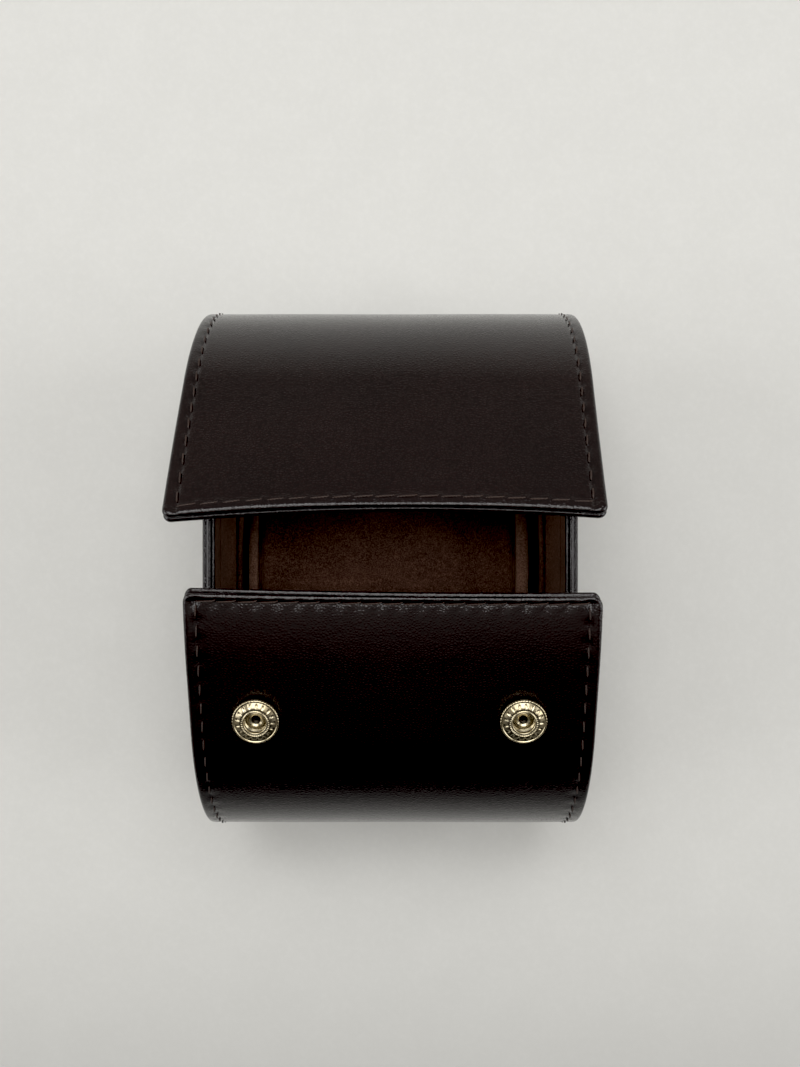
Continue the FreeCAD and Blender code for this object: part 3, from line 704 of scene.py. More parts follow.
class Graph:
    """Adds nodes to one shader tree and links them."""

    def __init__(self, tree: bpy.types.NodeTree) -> None:
        """Keeps the tree."""
        self.tree = tree

    def add(
        self, kind: str, inputs: dict[str | int, Value] | None = None, **settings: str | bpy.types.NodeTree
    ) -> bpy.types.Node:
        """Adds one node.

        Args:
            kind: Blender's name of the node type.
            inputs: values or other nodes' sockets, by the input's name or number.
            settings: properties of the node.

        Returns:
            The node.
        """
        node = self.tree.nodes.new(kind)
        for key, value in settings.items():
            setattr(node, key, value)
        for key, value in (inputs or {}).items():
            if isinstance(value, Socket):
                self.tree.links.new(value, node.inputs[key])
            else:
                node.inputs[key].default_value = value
        return node

    def math(self, operation: str, first: Value, second: Value = 0.0) -> Socket:
        """Adds a Math node and returns its result."""
        return self.add("ShaderNodeMath", {0: first, 1: second}, operation=operation).outputs[0]

    def weigh(self, *parts: tuple[Socket, float]) -> Socket:
        """Adds up values, each times its weight.

        Args:
            parts: (value, weight) pairs.

        Returns:
            The sum.
        """
        total, *others = [self.math("MULTIPLY", value, weight) for value, weight in parts]
        for value in others:
            total = self.math("ADD", total, value)
        return total

    def ramp(self, value: Socket, low: float, high: float) -> Socket:
        """Adds a smooth step from 0 at low to 1 at high and returns its result."""
        inputs = {"Value": value, "From Min": low, "From Max": high}
        return self.add("ShaderNodeMapRange", inputs, interpolation_type="SMOOTHSTEP").outputs["Result"]

    def tint(self, share: Socket, first: Value, second: Value) -> Socket:
        """Adds a mix from one colour to another and returns it."""
        return self.add("ShaderNodeMix", {0: share, 6: first, 7: second}, data_type="RGBA").outputs[2]

    def noise(self, spot: Socket, scale: Value, detail: float, roughness: float = 0.5) -> Outputs:
        """Adds a noise texture and returns its outputs."""
        inputs = {"Vector": spot, "Scale": scale, "Detail": detail, "Roughness": roughness}
        return self.add("ShaderNodeTexNoise", inputs).outputs

    def group(self, tree: bpy.types.NodeTree, **values: float) -> Outputs:
        """Places a shared group with its own values and returns its outputs."""
        return self.add("ShaderNodeGroup", values, node_tree=tree).outputs

    def place(self) -> Socket:
        """Object coordinates, in metres."""
        return self.add("ShaderNodeTexCoord").outputs["Object"]

    def depth(self) -> Socket:
        """Object coordinate from the front to the back, in metres."""
        return self.add("ShaderNodeSeparateXYZ", {0: self.place()}).outputs["Y"]


class Effects:
    """Shader groups that several finishes share: hide grain, nap, tone drift and rubbed wear."""

    def __init__(self) -> None:
        """Builds the groups once."""
        self.grain = self.make("hide_grain", {"Scale": 1900.0}, ("Height", "Crease"), self.draw_grain)
        self.nap = self.make("fibre_nap", {"Scale": 2600.0}, ("Height", "Fleck"), self.draw_nap)
        self.drift = self.make("tone_drift", {"Scale": 40.0}, ("Share",), self.draw_drift)
        self.wear = self.make("rubbed_wear", {"Scale": 160.0, "Amount": 0.5}, ("Mask",), self.draw_wear)

    @staticmethod
    def make(
        name: str,
        inputs: dict[str, float],
        outputs: tuple[str, ...],
        draw: Callable[[Graph, Outputs], tuple[Socket, ...]],
    ) -> bpy.types.NodeTree:
        """Makes one group.

        Args:
            name: name of the group.
            inputs: its inputs with their first values.
            outputs: names of its outputs.
            draw: function that gives the output sockets from the graph and the group's inputs.

        Returns:
            The node group.
        """
        group = bpy.data.node_groups.new(name, "ShaderNodeTree")
        for label, value in inputs.items():
            socket = group.interface.new_socket(name=label, in_out="INPUT", socket_type="NodeSocketFloat")
            socket.default_value = value
        for label in outputs:
            group.interface.new_socket(name=label, in_out="OUTPUT", socket_type="NodeSocketFloat")
        graph = Graph(group)
        results = draw(graph, graph.add("NodeGroupInput").outputs)
        graph.add("NodeGroupOutput", dict(zip(outputs, results)))
        return group

    @staticmethod
    def draw_grain(graph: Graph, inputs: Outputs) -> tuple[Socket, ...]:
        """Fine pebbles between creases, with a softer second size.

        Args:
            graph: the group's graph.
            inputs: the group's inputs.

        Returns:
            Height and mask of the creases.
        """
        spot, scale = graph.place(), inputs["Scale"]
        bent = graph.noise(spot, graph.math("MULTIPLY", scale, 0.4), 2.0)["Color"]
        sway = graph.add("ShaderNodeVectorMath", {0: bent, 1: (0.0004,) * 3}, operation="MULTIPLY").outputs[0]
        moved = graph.add("ShaderNodeVectorMath", {0: spot, 1: sway}, operation="ADD").outputs[0]
        seeds = {"Vector": moved, "Scale": scale}
        cells = graph.add("ShaderNodeTexVoronoi", seeds, feature="DISTANCE_TO_EDGE").outputs["Distance"]
        pebble = graph.ramp(cells, 0.0, 0.4)
        wide = graph.noise(spot, graph.math("MULTIPLY", scale, 0.23), 3.0)["Fac"]
        return graph.weigh((pebble, 0.6), (wide, 0.5)), graph.ramp(cells, 0.22, 0.0)

    @staticmethod
    def draw_nap(graph: Graph, inputs: Outputs) -> tuple[Socket, ...]:
        """Short raised fibres, with lighter tips in flecks.

        Args:
            graph: the group's graph.
            inputs: the group's inputs.

        Returns:
            Height and mask of the flecks.
        """
        spot, scale = graph.place(), inputs["Scale"]
        fine = graph.noise(spot, scale, 4.0, 0.7)["Fac"]
        clump = graph.noise(spot, graph.math("MULTIPLY", scale, 0.3), 2.0)["Fac"]
        both = graph.weigh((fine, 0.85), (clump, 0.15))
        return both, graph.ramp(both, 0.42, 0.66)

    @staticmethod
    def draw_drift(graph: Graph, inputs: Outputs) -> tuple[Socket, ...]:
        """Slow change of tone over a surface."""
        cloud = graph.noise(graph.place(), inputs["Scale"], 3.0, 0.55)["Fac"]
        return (graph.ramp(cloud, 0.3, 0.72),)

    @staticmethod
    def draw_wear(graph: Graph, inputs: Outputs) -> tuple[Socket, ...]:
        """Faint rubbed patches with broken outlines."""
        broad = graph.noise(graph.place(), inputs["Scale"], 5.0, 0.65)["Fac"]
        return (graph.math("MULTIPLY", graph.ramp(broad, 0.55, 0.75), inputs["Amount"]),)


def dimmed(colour: Colour, share: float) -> Colour:
    """Colour times a share."""
    red, green, blue, _ = colour
    return share * red, share * green, share * blue, 1.0


@dataclass(frozen=True)
class Finish:
    """One finish of the roll, as a procedural material.

    Attributes:
        name: name of the material.
        slot: slot of the record that it dresses.
        dark: darker colour.
        light: lighter colour.
        roughness: lowest and highest roughness.
        bump: height of the surface detail, in millimetres.
        shine: other values of the shader, by its input's name.
    """

    name: str
    slot: str
    dark: Colour
    light: Colour
    roughness: tuple[float, float]
    bump: float
    shine: ClassVar[dict[str, float | Colour]] = {}

    def draw(self, graph: Graph, effects: Effects) -> tuple[Socket, Socket, Socket]:
        """Colour, share from the lowest to the highest roughness, and height of the surface detail."""
        raise NotImplementedError

    def material(self, effects: Effects) -> Skin:
        """Makes the material.

        Args:
            effects: shared shader groups.

        Returns:
            The material.
        """
        material = bpy.data.materials.new(self.name)
        material.use_nodes = True
        material.diffuse_color = self.dark
        graph = Graph(material.node_tree)
        graph.tree.nodes.clear()
        colour, share, height = self.draw(graph, effects)
        low, high = self.roughness
        rough = graph.add("ShaderNodeMapRange", {"Value": share, "To Min": low, "To Max": high})
        bump = graph.add("ShaderNodeBump", {"Height": height, "Distance": self.bump * MM, "Strength": 1.0})
        fed = {"Base Color": colour, "Roughness": rough.outputs["Result"], "Normal": bump.outputs["Normal"]}
        shader = graph.add("ShaderNodeBsdfPrincipled", {**self.shine, **fed})
        graph.add("ShaderNodeOutputMaterial", {"Surface": shader.outputs[0]})
        return material


@dataclass(frozen=True)
class CalfFinish(Finish):
    """Smooth box calf: near black, with a fine grain and a satin polish.

    Attributes:
        grain: scale of the grain.
        crease: colour of its creases.
    """

    grain: float = 1550.0
    crease: Colour = (0.002, 0.0012, 0.001, 1.0)
    shine: ClassVar[dict[str, float | Colour]] = {
        "Specular IOR Level": 0.4, "Coat Weight": 0.15, "Coat Roughness": 0.38
    }

    def draw(self, graph: Graph, effects: Effects) -> tuple[Socket, Socket, Socket]:
        """Creased grain over slow tones, a little paler where it is rubbed.

        Args:
            graph: the material's graph.
            effects: shared shader groups.

        Returns:
            Colour, share of the roughness and height.
        """
        grain = graph.group(effects.grain, Scale=self.grain)
        tone = graph.group(effects.drift, Scale=55.0)["Share"]
        rubbed = graph.group(effects.wear, Scale=210.0, Amount=0.35)["Mask"]
        worn = graph.tint(rubbed, graph.tint(tone, self.dark, self.light), dimmed(self.light, 1.5))
        creased = graph.tint(graph.math("MULTIPLY", grain["Crease"], 0.5), worn, self.crease)
        return creased, graph.weigh((tone, 0.5), (rubbed, 1.0)), grain["Height"]


@dataclass(frozen=True)
class SuedeFinish(Finish):
    """Brushed brown suede with lighter flecks of raised nap, which may carry a painted shadow of the upper
    flap, darker towards the back.

    Attributes:
        nap: scale of the nap.
        laid: share of the colour left in the painted shadow of the upper flap, towards the back, or 1 for
            none.
    """

    nap: float = 3400.0
    laid: float = 1.0
    shine: ClassVar[dict[str, float | Colour]] = {
        "Specular IOR Level": 0.2, "Sheen Weight": 0.25, "Sheen Roughness": 0.5,
        "Sheen Tint": (0.5, 0.36, 0.26, 1.0),
    }

    def draw(self, graph: Graph, effects: Effects) -> tuple[Socket, Socket, Socket]:
        """Flecks of nap over slow tones, darkened towards the back where a painted shadow is set.

        Args:
            graph: the material's graph.
            effects: shared shader groups.

        Returns:
            Colour, share of the roughness and height.
        """
        nap = graph.group(effects.nap, Scale=self.nap)
        tone = graph.group(effects.drift, Scale=90.0)["Share"]
        brushed = graph.weigh((nap["Fleck"], 0.8), (tone, 0.2))
        colour = graph.tint(brushed, self.dark, self.light)
        # Painted shadow of the upper flap: the colour is darkened towards the back.
        if self.laid < 1.0:
            deep = graph.tint(brushed, dimmed(self.dark, self.laid), dimmed(self.light, self.laid))
            colour = graph.tint(graph.ramp(graph.depth(), 0.0, 0.013), colour, deep)
        return colour, tone, nap["Height"]


@dataclass(frozen=True)
class MetalFinish(Finish):
    """Plated or drawn metal with faint rubbed patches.

    Attributes:
        brush: scale of the fine brush marks.
    """

    brush: float = 900.0
    shine: ClassVar[dict[str, float | Colour]] = {"Metallic": 1.0}

    def draw(self, graph: Graph, effects: Effects) -> tuple[Socket, Socket, Socket]:
        """Slow tones and rubbed patches over a fine brush.

        Args:
            graph: the material's graph.
            effects: shared shader groups.

        Returns:
            Colour, share of the roughness and height.
        """
        rubbed = graph.group(effects.wear, Scale=600.0, Amount=0.8)["Mask"]
        tone = graph.group(effects.drift, Scale=240.0)["Share"]
        fine = graph.group(effects.nap, Scale=self.brush)["Height"]
        colour = graph.tint(graph.weigh((tone, 0.6), (rubbed, 0.4)), self.dark, self.light)
        return colour, graph.weigh((rubbed, 0.6), (fine, 0.6)), fine


@dataclass(frozen=True)
class ThreadFinish(Finish):
    """Waxed sewing thread, twisted from two strands.

    Attributes:
        twist: scale of the strands.
    """

    twist: float = 950.0

    def draw(self, graph: Graph, effects: Effects) -> tuple[Socket, Socket, Socket]:
        """Slanting strands over slow tones.

        Args:
            graph: the material's graph.
            effects: shared shader groups.

        Returns:
            Colour, share of the roughness and height.
        """
        inputs = {"Vector": graph.place(), "Scale": self.twist, "Distortion": 1.5, "Detail": 1.0}
        strands = graph.add("ShaderNodeTexWave", inputs, bands_direction="DIAGONAL").outputs["Fac"]
        tone = graph.group(effects.drift, Scale=300.0)["Share"]
        return graph.tint(graph.weigh((strands, 0.6), (tone, 0.4)), self.dark, self.light), tone, strands


@dataclass(frozen=True)
class FibreFinish(Finish):
    """Dull fibrous stuff, such as pasteboard, foam or paper.

    Attributes:
        fibre: scale of the fibres.
    """

    fibre: float = 1200.0

    def draw(self, graph: Graph, effects: Effects) -> tuple[Socket, Socket, Socket]:
        """Flecks of fibre over slow tones.

        Args:
            graph: the material's graph.
            effects: shared shader groups.

        Returns:
            Colour, share of the roughness and height.
        """
        fibre = graph.group(effects.nap, Scale=self.fibre)
        tone = graph.group(effects.drift, Scale=70.0)["Share"]
        colour = graph.tint(graph.weigh((fibre["Fleck"], 0.5), (tone, 0.5)), self.dark, self.light)
        return colour, tone, fibre["Height"]


@dataclass(frozen=True)
class PaperFinish(FibreFinish):
    """Pale matt paper that falls into shade well in front of the roll.

    Attributes:
        shade: share of the colour that is left in the shade.
    """

    fibre: float = 500.0
    shade: float = 0.5

    def draw(self, graph: Graph, effects: Effects) -> tuple[Socket, Socket, Socket]:
        """Fibres that go over into shade.

        Args:
            graph: the material's graph.
            effects: shared shader groups.

        Returns:
            Colour, share of the roughness and height.
        """
        colour, tone, height = super().draw(graph, effects)
        lit = graph.ramp(graph.depth(), -0.28, -0.04)
        return graph.tint(lit, dimmed(self.dark, self.shade), colour), tone, height


CALF = CalfFinish("calf", "calf", (0.007, 0.0019, 0.0017, 1), (0.009, 0.0026, 0.0022, 1), (0.11, 0.2), 0.05)
SUEDE = SuedeFinish("suede", "suede", (0.027, 0.012, 0.008, 1), (0.165, 0.09, 0.064, 1), (0.88, 1.0), 0.24)
# Cushion suede with the painted shadow of the upper flap towards the back.
SHADOWED_PAD_SUEDE = replace(SUEDE, name="pad_suede", laid=0.55)
# Paler copy of the cushion suede for its end bands: painted light where they face the side lamps, with the
# same painted shadow towards the back.
LIT_BAND_SUEDE = replace(
    SHADOWED_PAD_SUEDE, name="band_suede", dark=(0.076, 0.04, 0.027, 1), light=(0.25, 0.148, 0.107, 1)
)
BRASS = MetalFinish(
    "snap_brass", "snap_brass", (0.46, 0.39, 0.25, 1), (0.64, 0.58, 0.42, 1), (0.18, 0.36), 0.004
)
STEEL = MetalFinish(
    "spring_steel", "spring_steel", (0.4, 0.4, 0.4, 1), (0.6, 0.6, 0.61, 1), (0.25, 0.45), 0.004
)
THREAD = ThreadFinish(
    "thread", "calf", (0.02, 0.0098, 0.007, 1), (0.046, 0.025, 0.0175, 1), (0.5, 0.68), 0.1
)
BOARD = FibreFinish("board", "board", (0.22, 0.17, 0.12, 1), (0.36, 0.29, 0.21, 1), (0.85, 0.95), 0.05)
FOAM = FibreFinish("foam", "foam", (0.3, 0.28, 0.22, 1), (0.5, 0.46, 0.38, 1), (0.9, 1.0), 0.2, fibre=700.0)
PAPER = PaperFinish(
    "paper_floor", "board", (0.612, 0.612, 0.588, 1), (0.642, 0.642, 0.618, 1), (0.8, 0.9), 0.02
)


class Palette:
    """Materials of the roll, by finish."""

    def __init__(self, effects: Effects) -> None:
        """Makes every material once."""
        finishes = (CALF, SUEDE, SHADOWED_PAD_SUEDE, LIT_BAND_SUEDE, BRASS, STEEL, THREAD, BOARD, FOAM)
        self.skins = {finish.name: finish.material(effects) for finish in finishes}

    def __getitem__(self, finish: Finish) -> Skin:
        """Material of a finish."""
        return self.skins[finish.name]

    def sew(self, name: str, lines: np.ndarray, normals: np.ndarray, radius: float) -> Piece:
        """Makes the thread of a seam.

        Args:
            name: name of the piece.
            lines: points of every stitch, shaped (stitches, points, 3).
            normals: direction away from the surface at every point, shaped alike.
            radius: radius of the thread.

        Returns:
            The piece.
        """
        return new_object(name, *tubes(lines, normals, radius), [self[THREAD]])

    def dress_nodes(self) -> None:
        """Gives every solid of the frame the material of its slot."""
        slots = {finish.slot: self[finish] for finish in (CALF, SUEDE, BRASS, STEEL, BOARD, FOAM)}
        for part in frame["record"]["subparts"]:
            mesh = frame["nodes"][part["node"]].data
            mesh.materials.clear()
            mesh.materials.append(slots[part["material_slot"]])


@dataclass(frozen=True)
class Wrap:
    """Leather outside, suede inside and the sewing of the wrap.

    Attributes:
        palette: materials of the roll.
        rear_split: length on the rear path where two stretches meet in the rear wall.
        lean: length before the free edge over which the upper flap leans.
        thread: radius of the thread.
    """

    palette: Palette
    rear_split: float = 75.0
    lean: float = 60.0
    thread: float = 0.21

    def stretches(self) -> tuple[Stretch, ...]:
        """Stretches of the wrap.

        Returns:
            The three stretches, from the rear wall round to the front flap.
        """
        return (
            Stretch(
                "rear", REAR_PATH, 0.0, self.rear_split, ("case", "rear_wall"),
                ((0.0, 33.4, 1.5), (0.0, 43.3, 2.9)), ("base", "rear_bend", "rear_wall"), free=False,
            ),
            Stretch(
                "upper_flap", REAR_PATH, self.rear_split, REAR_PATH.length, ("rear_wall", "upper_flap"),
                ((0.0, 62.0, 44.6), (0.0, 48.9, 62.2)), ("shoulder_bend", "upper_flap"), UPPER_RELIEF,
                bow=2.3, skew=0.52, sway=-0.7, lean_from=REAR_PATH.length - self.lean, spread=0.2, step=0.06,
            ),
            Stretch(
                "lower_flap", FRONT_PATH, 0.0, FRONT_PATH.length, ("case", "lower_flap"),
                ((0.0, -33.4, 1.5), (0.0, -41.3, 6.3)), ("front_bend", "lower_flap"), LOWER_RELIEF,
                bow=0.35, skew=0.4, sway=0.75, spread=0.6, step=0.05,
                dimples=((-SNAP_X, SNAP_ALONG), (SNAP_X, SNAP_ALONG)),
            ),
        )

    def build(self) -> None:
        """Builds both plies of every stretch and sews them."""
        for stretch in self.stretches():
            for face in Face:
                sheet = WrapSheet(stretch, face)
                word = f"{stretch.name}_{face.ply}"
                points, faces, slots = sheet.mesh()
                skins = [self.palette[CALF], self.palette[SUEDE]]
                piece = new_object(f"{word}_ply", points, faces, skins, slots)
                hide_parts(*(f"{node}_{face.ply}" for node in stretch.nodes))
                threads = self.palette.sew(f"{word}_stitches", *sheet.stitch_lines(), self.thread)
                for item in (piece, threads):
                    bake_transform(item)


@dataclass(frozen=True)
class EndWall:
    """Upright wall at one end: two beaded leather plies, suede inside and the sewn strip at its foot.

    Attributes:
        end: which end of the roll.
        palette: materials of the roll.
        outside: outer face from the middle of the roll.
        half: half of the wall from front to rear.
        low: foot of the wall.
        high: top of the wall.
        lower_radius: lower corners.
        upper_radius: upper corners.
        ply: one of the two leather plies.
        lining: suede on the inside.
        stitches: stitches round the rim.
        inset: stitches from the rim.
        thread: radius of the thread.
        arch: rise of a stitch between its holes.
        sunk: depth of the holes under the outer face.
        strip_half: half of the length of the strip at its foot.
        strip_groove: number of the strip's point that its stitches lie in.
        strip_section: (distance from the wall, height) round the strip.
        field: distances from the rim of the rings of the outer face.
        lining_edge: (distance from the rim, height over the lining's face) round its dark edge.
        lining_field: the same over its suede.
    """

    end: End
    palette: Palette
    outside: float = 44.0
    half: float = 48.0
    low: float = 3.0
    high: float = 52.4
    lower_radius: float = 18.0
    upper_radius: float = 28.0
    ply: float = 1.0
    lining: float = 0.8
    stitches: int = 57
    inset: float = 2.0
    thread: float = 0.25
    arch: float = 0.26
    sunk: float = 0.24
    strip_half: float = 30.0
    strip_groove: int = 9
    strip_section: Pairs = (
        (0.02, 0.05), (0.02, 41.0), (0.1, 41.6), (0.16, 40.0), (0.3, 37.0), (0.6, 34.0), (1.05, 31.6),
        (1.6, 30.0), (2.0, 29.2), (2.25, 28.5), (2.5, 28.95), (2.8, 29.25), (3.2, 29.2), (3.55, 28.8),
        (3.75, 28.1), (3.8, 27.0), (3.7, 25.5), (3.5, 14.0), (3.5, 6.0), (3.7, 3.3), (4.2, 3.0),
        (4.25, 1.5), (4.1, 0.05),
    )
    field: tuple[float, ...] = (16.0, 9.0, 5.0, 3.4, 2.7, 2.3, 2.0, 1.7, 1.3, 0.9)
    lining_edge: Pairs = ((4.0, -0.75), (0.95, -0.78), (0.75, -0.55), (0.85, -0.25), (1.15, -0.06))
    lining_field: Pairs = ((1.6, 0.0), (2.2, 0.04), (3.2, 0.02), (5.5, 0.08), (10.0, 0.12), (16.0, 0.12))

    def outline(self, count: int) -> tuple[np.ndarray, np.ndarray]:
        """Even points round the wall, with their outward directions.

        Args:
            count: number of points.

        Returns:
            Points and directions, as (Y, Z) rows.
        """
        lower = (self.low + self.lower_radius, self.lower_radius)
        upper = (self.high - self.upper_radius, self.upper_radius)
        points, ways = [], []
        for number, (side, (level, radius)) in enumerate(((1, lower), (1, upper), (-1, upper), (-1, lower))):
            turn = np.radians(np.linspace(90.0 * (number - 1), 90.0 * number, 90))
            ways.append(np.stack([np.cos(turn), np.sin(turn)], 1))
            points.append(np.array([side * (self.half - radius), level]) + radius * ways[-1])
        loop, around = (np.concatenate(rows + [rows[0][:1]]) for rows in (points, ways))
        spot, way = evenly(loop, count, around)
        return spot, way / np.linalg.norm(way, axis=1, keepdims=True)

    def ring(self, inset: float, depth: np.ndarray | float, count: int) -> np.ndarray:
        """Ring of points inside the rim.

        Args:
            inset: distance inside the rim.
            depth: distance from the outer face towards the middle of the roll.
            count: number of points.

        Returns:
            The points.
        """
        spot, way = self.outline(count)
        x = np.full(count, 1.0) * (self.outside - depth) * self.end.value
        return np.concatenate([x[:, None], spot - way * inset], 1)

    def loft(
        self, name: str, rings: list[np.ndarray], skins: list[Skin], bands: list[int], cap: int
    ) -> Piece:
        """Surface through rings, with one of its end rings filled.

        Args:
            name: name of the piece, after that of the end.
            rings: rings of points in order.
            skins: materials of the piece.
            bands: material number of the band after each ring but the last.
            cap: number of the ring that is filled, 0 or -1.

        Returns:
            The piece.
        """
        count = len(rings[0])
        first = cap % len(rings) * count
        faces = ring_faces(len(rings), count) + [tuple(range(first, first + count))]
        slots = np.repeat(bands, count).tolist() + [bands[cap]]
        return new_object(f"{self.end.word}_{name}", np.concatenate(rings), faces, skins, slots)

    def towards_middle(self, ring: np.ndarray) -> list[np.ndarray]:
        """Rings of the field inside a ring, the smallest one first."""
        centre = np.array([ring[:, 0].mean(), 0.0, (self.low + self.high) / 2])
        return [centre + (ring - centre) * share for share in (0.04, 0.35, 0.7)]

    def build(self) -> None:
        """Builds the leather, the lining, the stitches and the strip at the foot."""
        self.build_leather()
        self.build_lining()
        self.build_stitches()
        self.build_strip()

    def build_leather(self) -> None:
        """Two leather plies with beaded rims."""
        fine = 6
        count = self.stitches * fine
        relief = Relief(channel=0.16, side_pucker=0.06)
        along = np.arange(count) * relief.pitch / fine
        outer = [
            self.ring(gap, -relief.edge(np.full(count, gap), self.inset, along, relief.side_pucker), count)
            for gap in self.field
        ]
        half = self.ply / 2
        bead = []
        for base, angles in ((0.0, range(0, 151, 30)), (self.ply, range(30, 181, 30))):
            for turn in np.radians(angles):
                depth = base + half - half * math.cos(turn)
                bead.append(self.ring(half - half * math.sin(turn), depth, count))
        tail = [self.ring(gap, 2 * self.ply, count) for gap in (1.2, 4.0)]
        rings = self.towards_middle(outer[0]) + outer + bead + tail
        piece = self.loft("wall_shell", rings, [self.palette[CALF]], [0] * (len(rings) - 1), 0)
        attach(piece, "case")
        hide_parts(f"{self.end.word}_wall_leather")

    def build_lining(self) -> None:
        """Suede field inside a dark edge."""
        count = self.stitches * 4
        face = 2 * self.ply + self.lining
        rings = [self.ring(gap, face + level, count) for gap, level in self.lining_edge + self.lining_field]
        rings += self.towards_middle(rings[-1])[::-1]
        edge = len(self.lining_edge)
        bands = [0] * edge + [1] * (len(rings) - edge - 1)
        piece = self.loft("wall_suede", rings, [self.palette[CALF], self.palette[SUEDE]], bands, -1)
        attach(piece, "case")
        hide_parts(f"{self.end.word}_wall_lining")

    def build_stitches(self) -> None:
        """Stitches round the rim on the outer face."""
        steps = 24
        spot, way = self.outline(self.stitches * steps)
        share = np.arange(3, 22, 3)
        seam = spot - way * self.inset
        lines = np.stack([seam[stitch * steps + share] for stitch in range(self.stitches)])
        arch = self.arch * np.sin(math.pi * (share - 3) / 18.0) ** 0.6 - self.sunk
        x = self.end.value * (self.outside + arch)
        points = np.concatenate([np.broadcast_to(x, lines.shape[:2])[..., None], lines], -1)
        out = np.zeros_like(points)
        out[..., 0] = self.end.value
        threads = self.palette.sew(f"{self.end.word}_wall_stitches", points, out, self.thread)
        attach(threads, "case")

    def strip_rings(self) -> list[np.ndarray]:
        """Form of the strip, lower towards its ends and a little uneven.

        Returns:
            Rings of points along the strip.
        """
        wall = self.outside - 2 * self.ply - self.lining
        rings = []
        for place in spaced(-self.strip_half, self.strip_half, 1.1):
            wave = 0.12 * math.sin(place / 3.1) + 0.1 * math.sin(place / 7.7 + 1.0)
            fall = 1.0 - 0.5 * max(0.0, abs(place) / self.strip_half - 0.75) / 0.25
            ring = []
            for out, level in self.strip_section:
                lifted = (level + (wave if level > 24.0 else 0.0)) * (fall if level > 4.0 else 1.0)
                ring.append((self.end.value * (wall - out), place, self.low + lifted))
            rings.append(np.array(ring))
        return rings

    def build_strip(self) -> None:
        """Folded suede strip between the wall and the base, sewn behind its rolled edge."""
        rings = self.strip_rings()
        faces = ring_faces(len(rings), len(self.strip_section), capped=True)
        piece = new_object(f"{self.end.word}_foot_strip", np.concatenate(rings), faces, [self.palette[SUEDE]])
        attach(piece, "case")
        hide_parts(f"{self.end.word}_gusset")
        path = np.array([ring[self.strip_groove] for ring in rings])
        places = np.arange(-22.0, 19.0, 3.2)[:, None] + np.linspace(0.3, 2.9, 7)
        lines = np.stack([np.interp(places, path[:, 1], path[:, axis]) for axis in range(3)], -1)
        lines[..., 2] += 0.3 * np.sin(math.pi * np.linspace(0.0, 1.0, 7)) ** 0.6 - 0.05
        up = np.zeros_like(lines)
        up[..., 2] = 1.0
        threads = self.palette.sew(f"{self.end.word}_strip_stitches", lines, up, self.thread + 0.01)
        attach(threads, "case")


@dataclass(frozen=True)
class SnapSocket:
    """Socket of one press snap on the front flap, with a milled rim, a ring of ticks and a ring of dots.

    Attributes:
        end: which end of the roll it is nearer to.
        palette: materials of the roll.
        steps: points round the socket.
        mills: grooves round its rim.
        mill_depth: depth of a groove.
        ticks: marks on its sloping band.
        tick_depth: depth of a mark.
        dots: beads round its bore.
        dot_height: height of a bead.
        profile: (radius, height) of its outline, from the leather round the rim and down the bore.
    """

    end: End
    palette: Palette
    steps: int = 240
    mills: int = 48
    mill_depth: float = 0.09
    ticks: int = 17
    tick_depth: float = 0.14
    dots: int = 40
    dot_height: float = 0.1
    profile: Pairs = (
        (1.7, 0.02), (4.28, 0.02), (4.3, 0.7), (4.5, 0.84), (4.95, 0.98), (5.17, 1.16), (5.25, 1.4),
        (5.25, 1.7), (5.2, 1.9), (5.07, 2.02), (4.92, 2.06), (4.78, 2.01), (4.7, 1.92), (4.64, 1.9),
        (4.58, 1.93), (4.4, 2.02), (4.15, 2.15), (3.9, 2.27), (3.65, 2.38), (3.4, 2.47), (3.2, 2.5),
        (3.12, 2.42), (3.05, 2.35), (2.92, 2.35), (2.86, 2.38), (2.82, 2.44), (2.72, 2.52), (2.6, 2.53),
        (2.49, 2.46), (2.42, 2.3), (2.4, 2.0), (2.4, 1.86), (3.1, 1.84), (3.1, 1.16), (2.4, 1.14),
        (2.4, 0.52), (1.62, 0.5),
    )

    def rings(self) -> list[np.ndarray]:
        """Form of the socket, lying flat at the origin.

        Returns:
            Rings of points from the leather round the rim and down the bore.
        """
        turn = np.arange(self.steps) * TURN / self.steps
        rings = []
        for radius, level in self.profile:
            reach, lift = np.full(self.steps, radius), np.full(self.steps, level)
            if radius > 4.9 and level > 0.9:
                reach = reach - self.mill_depth * (0.5 - 0.5 * np.cos(self.mills * turn)) ** 2
            if 3.5 < radius < 4.3 and level > 2.1:
                lift = lift - self.tick_depth * smoothstep((np.cos(self.ticks * turn) - 0.35) / 0.4)
            if 2.9 < radius < 3.1 and level > 2.3:
                lift = lift + self.dot_height * smoothstep((np.cos(self.dots * turn) + 0.2) / 0.8)
            rings.append(np.stack([reach * np.cos(turn), reach * np.sin(turn), lift], 1))
        return rings

    def build(self) -> None:
        """Builds the socket on the flap's leather."""
        rings = self.rings()
        spot, out = FRONT_PATH.section(np.array([SNAP_ALONG]))
        place = Matrix.Translation(Vector((self.end.value * SNAP_X, *spot[0])))
        stand = np.array(place @ Matrix.Rotation(math.atan2(-out[0, 0], out[0, 1]), 4, "X"))
        points = np.concatenate(rings) @ stand[:3, :3].T + stand[:3, 3]
        faces = ring_faces(len(rings), self.steps, closed=True)
        piece = new_object(f"{self.end.word}_snap_socket", points, faces, [self.palette[BRASS]])
        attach(piece, "lower_flap")
        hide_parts(f"{self.end.word}_socket")


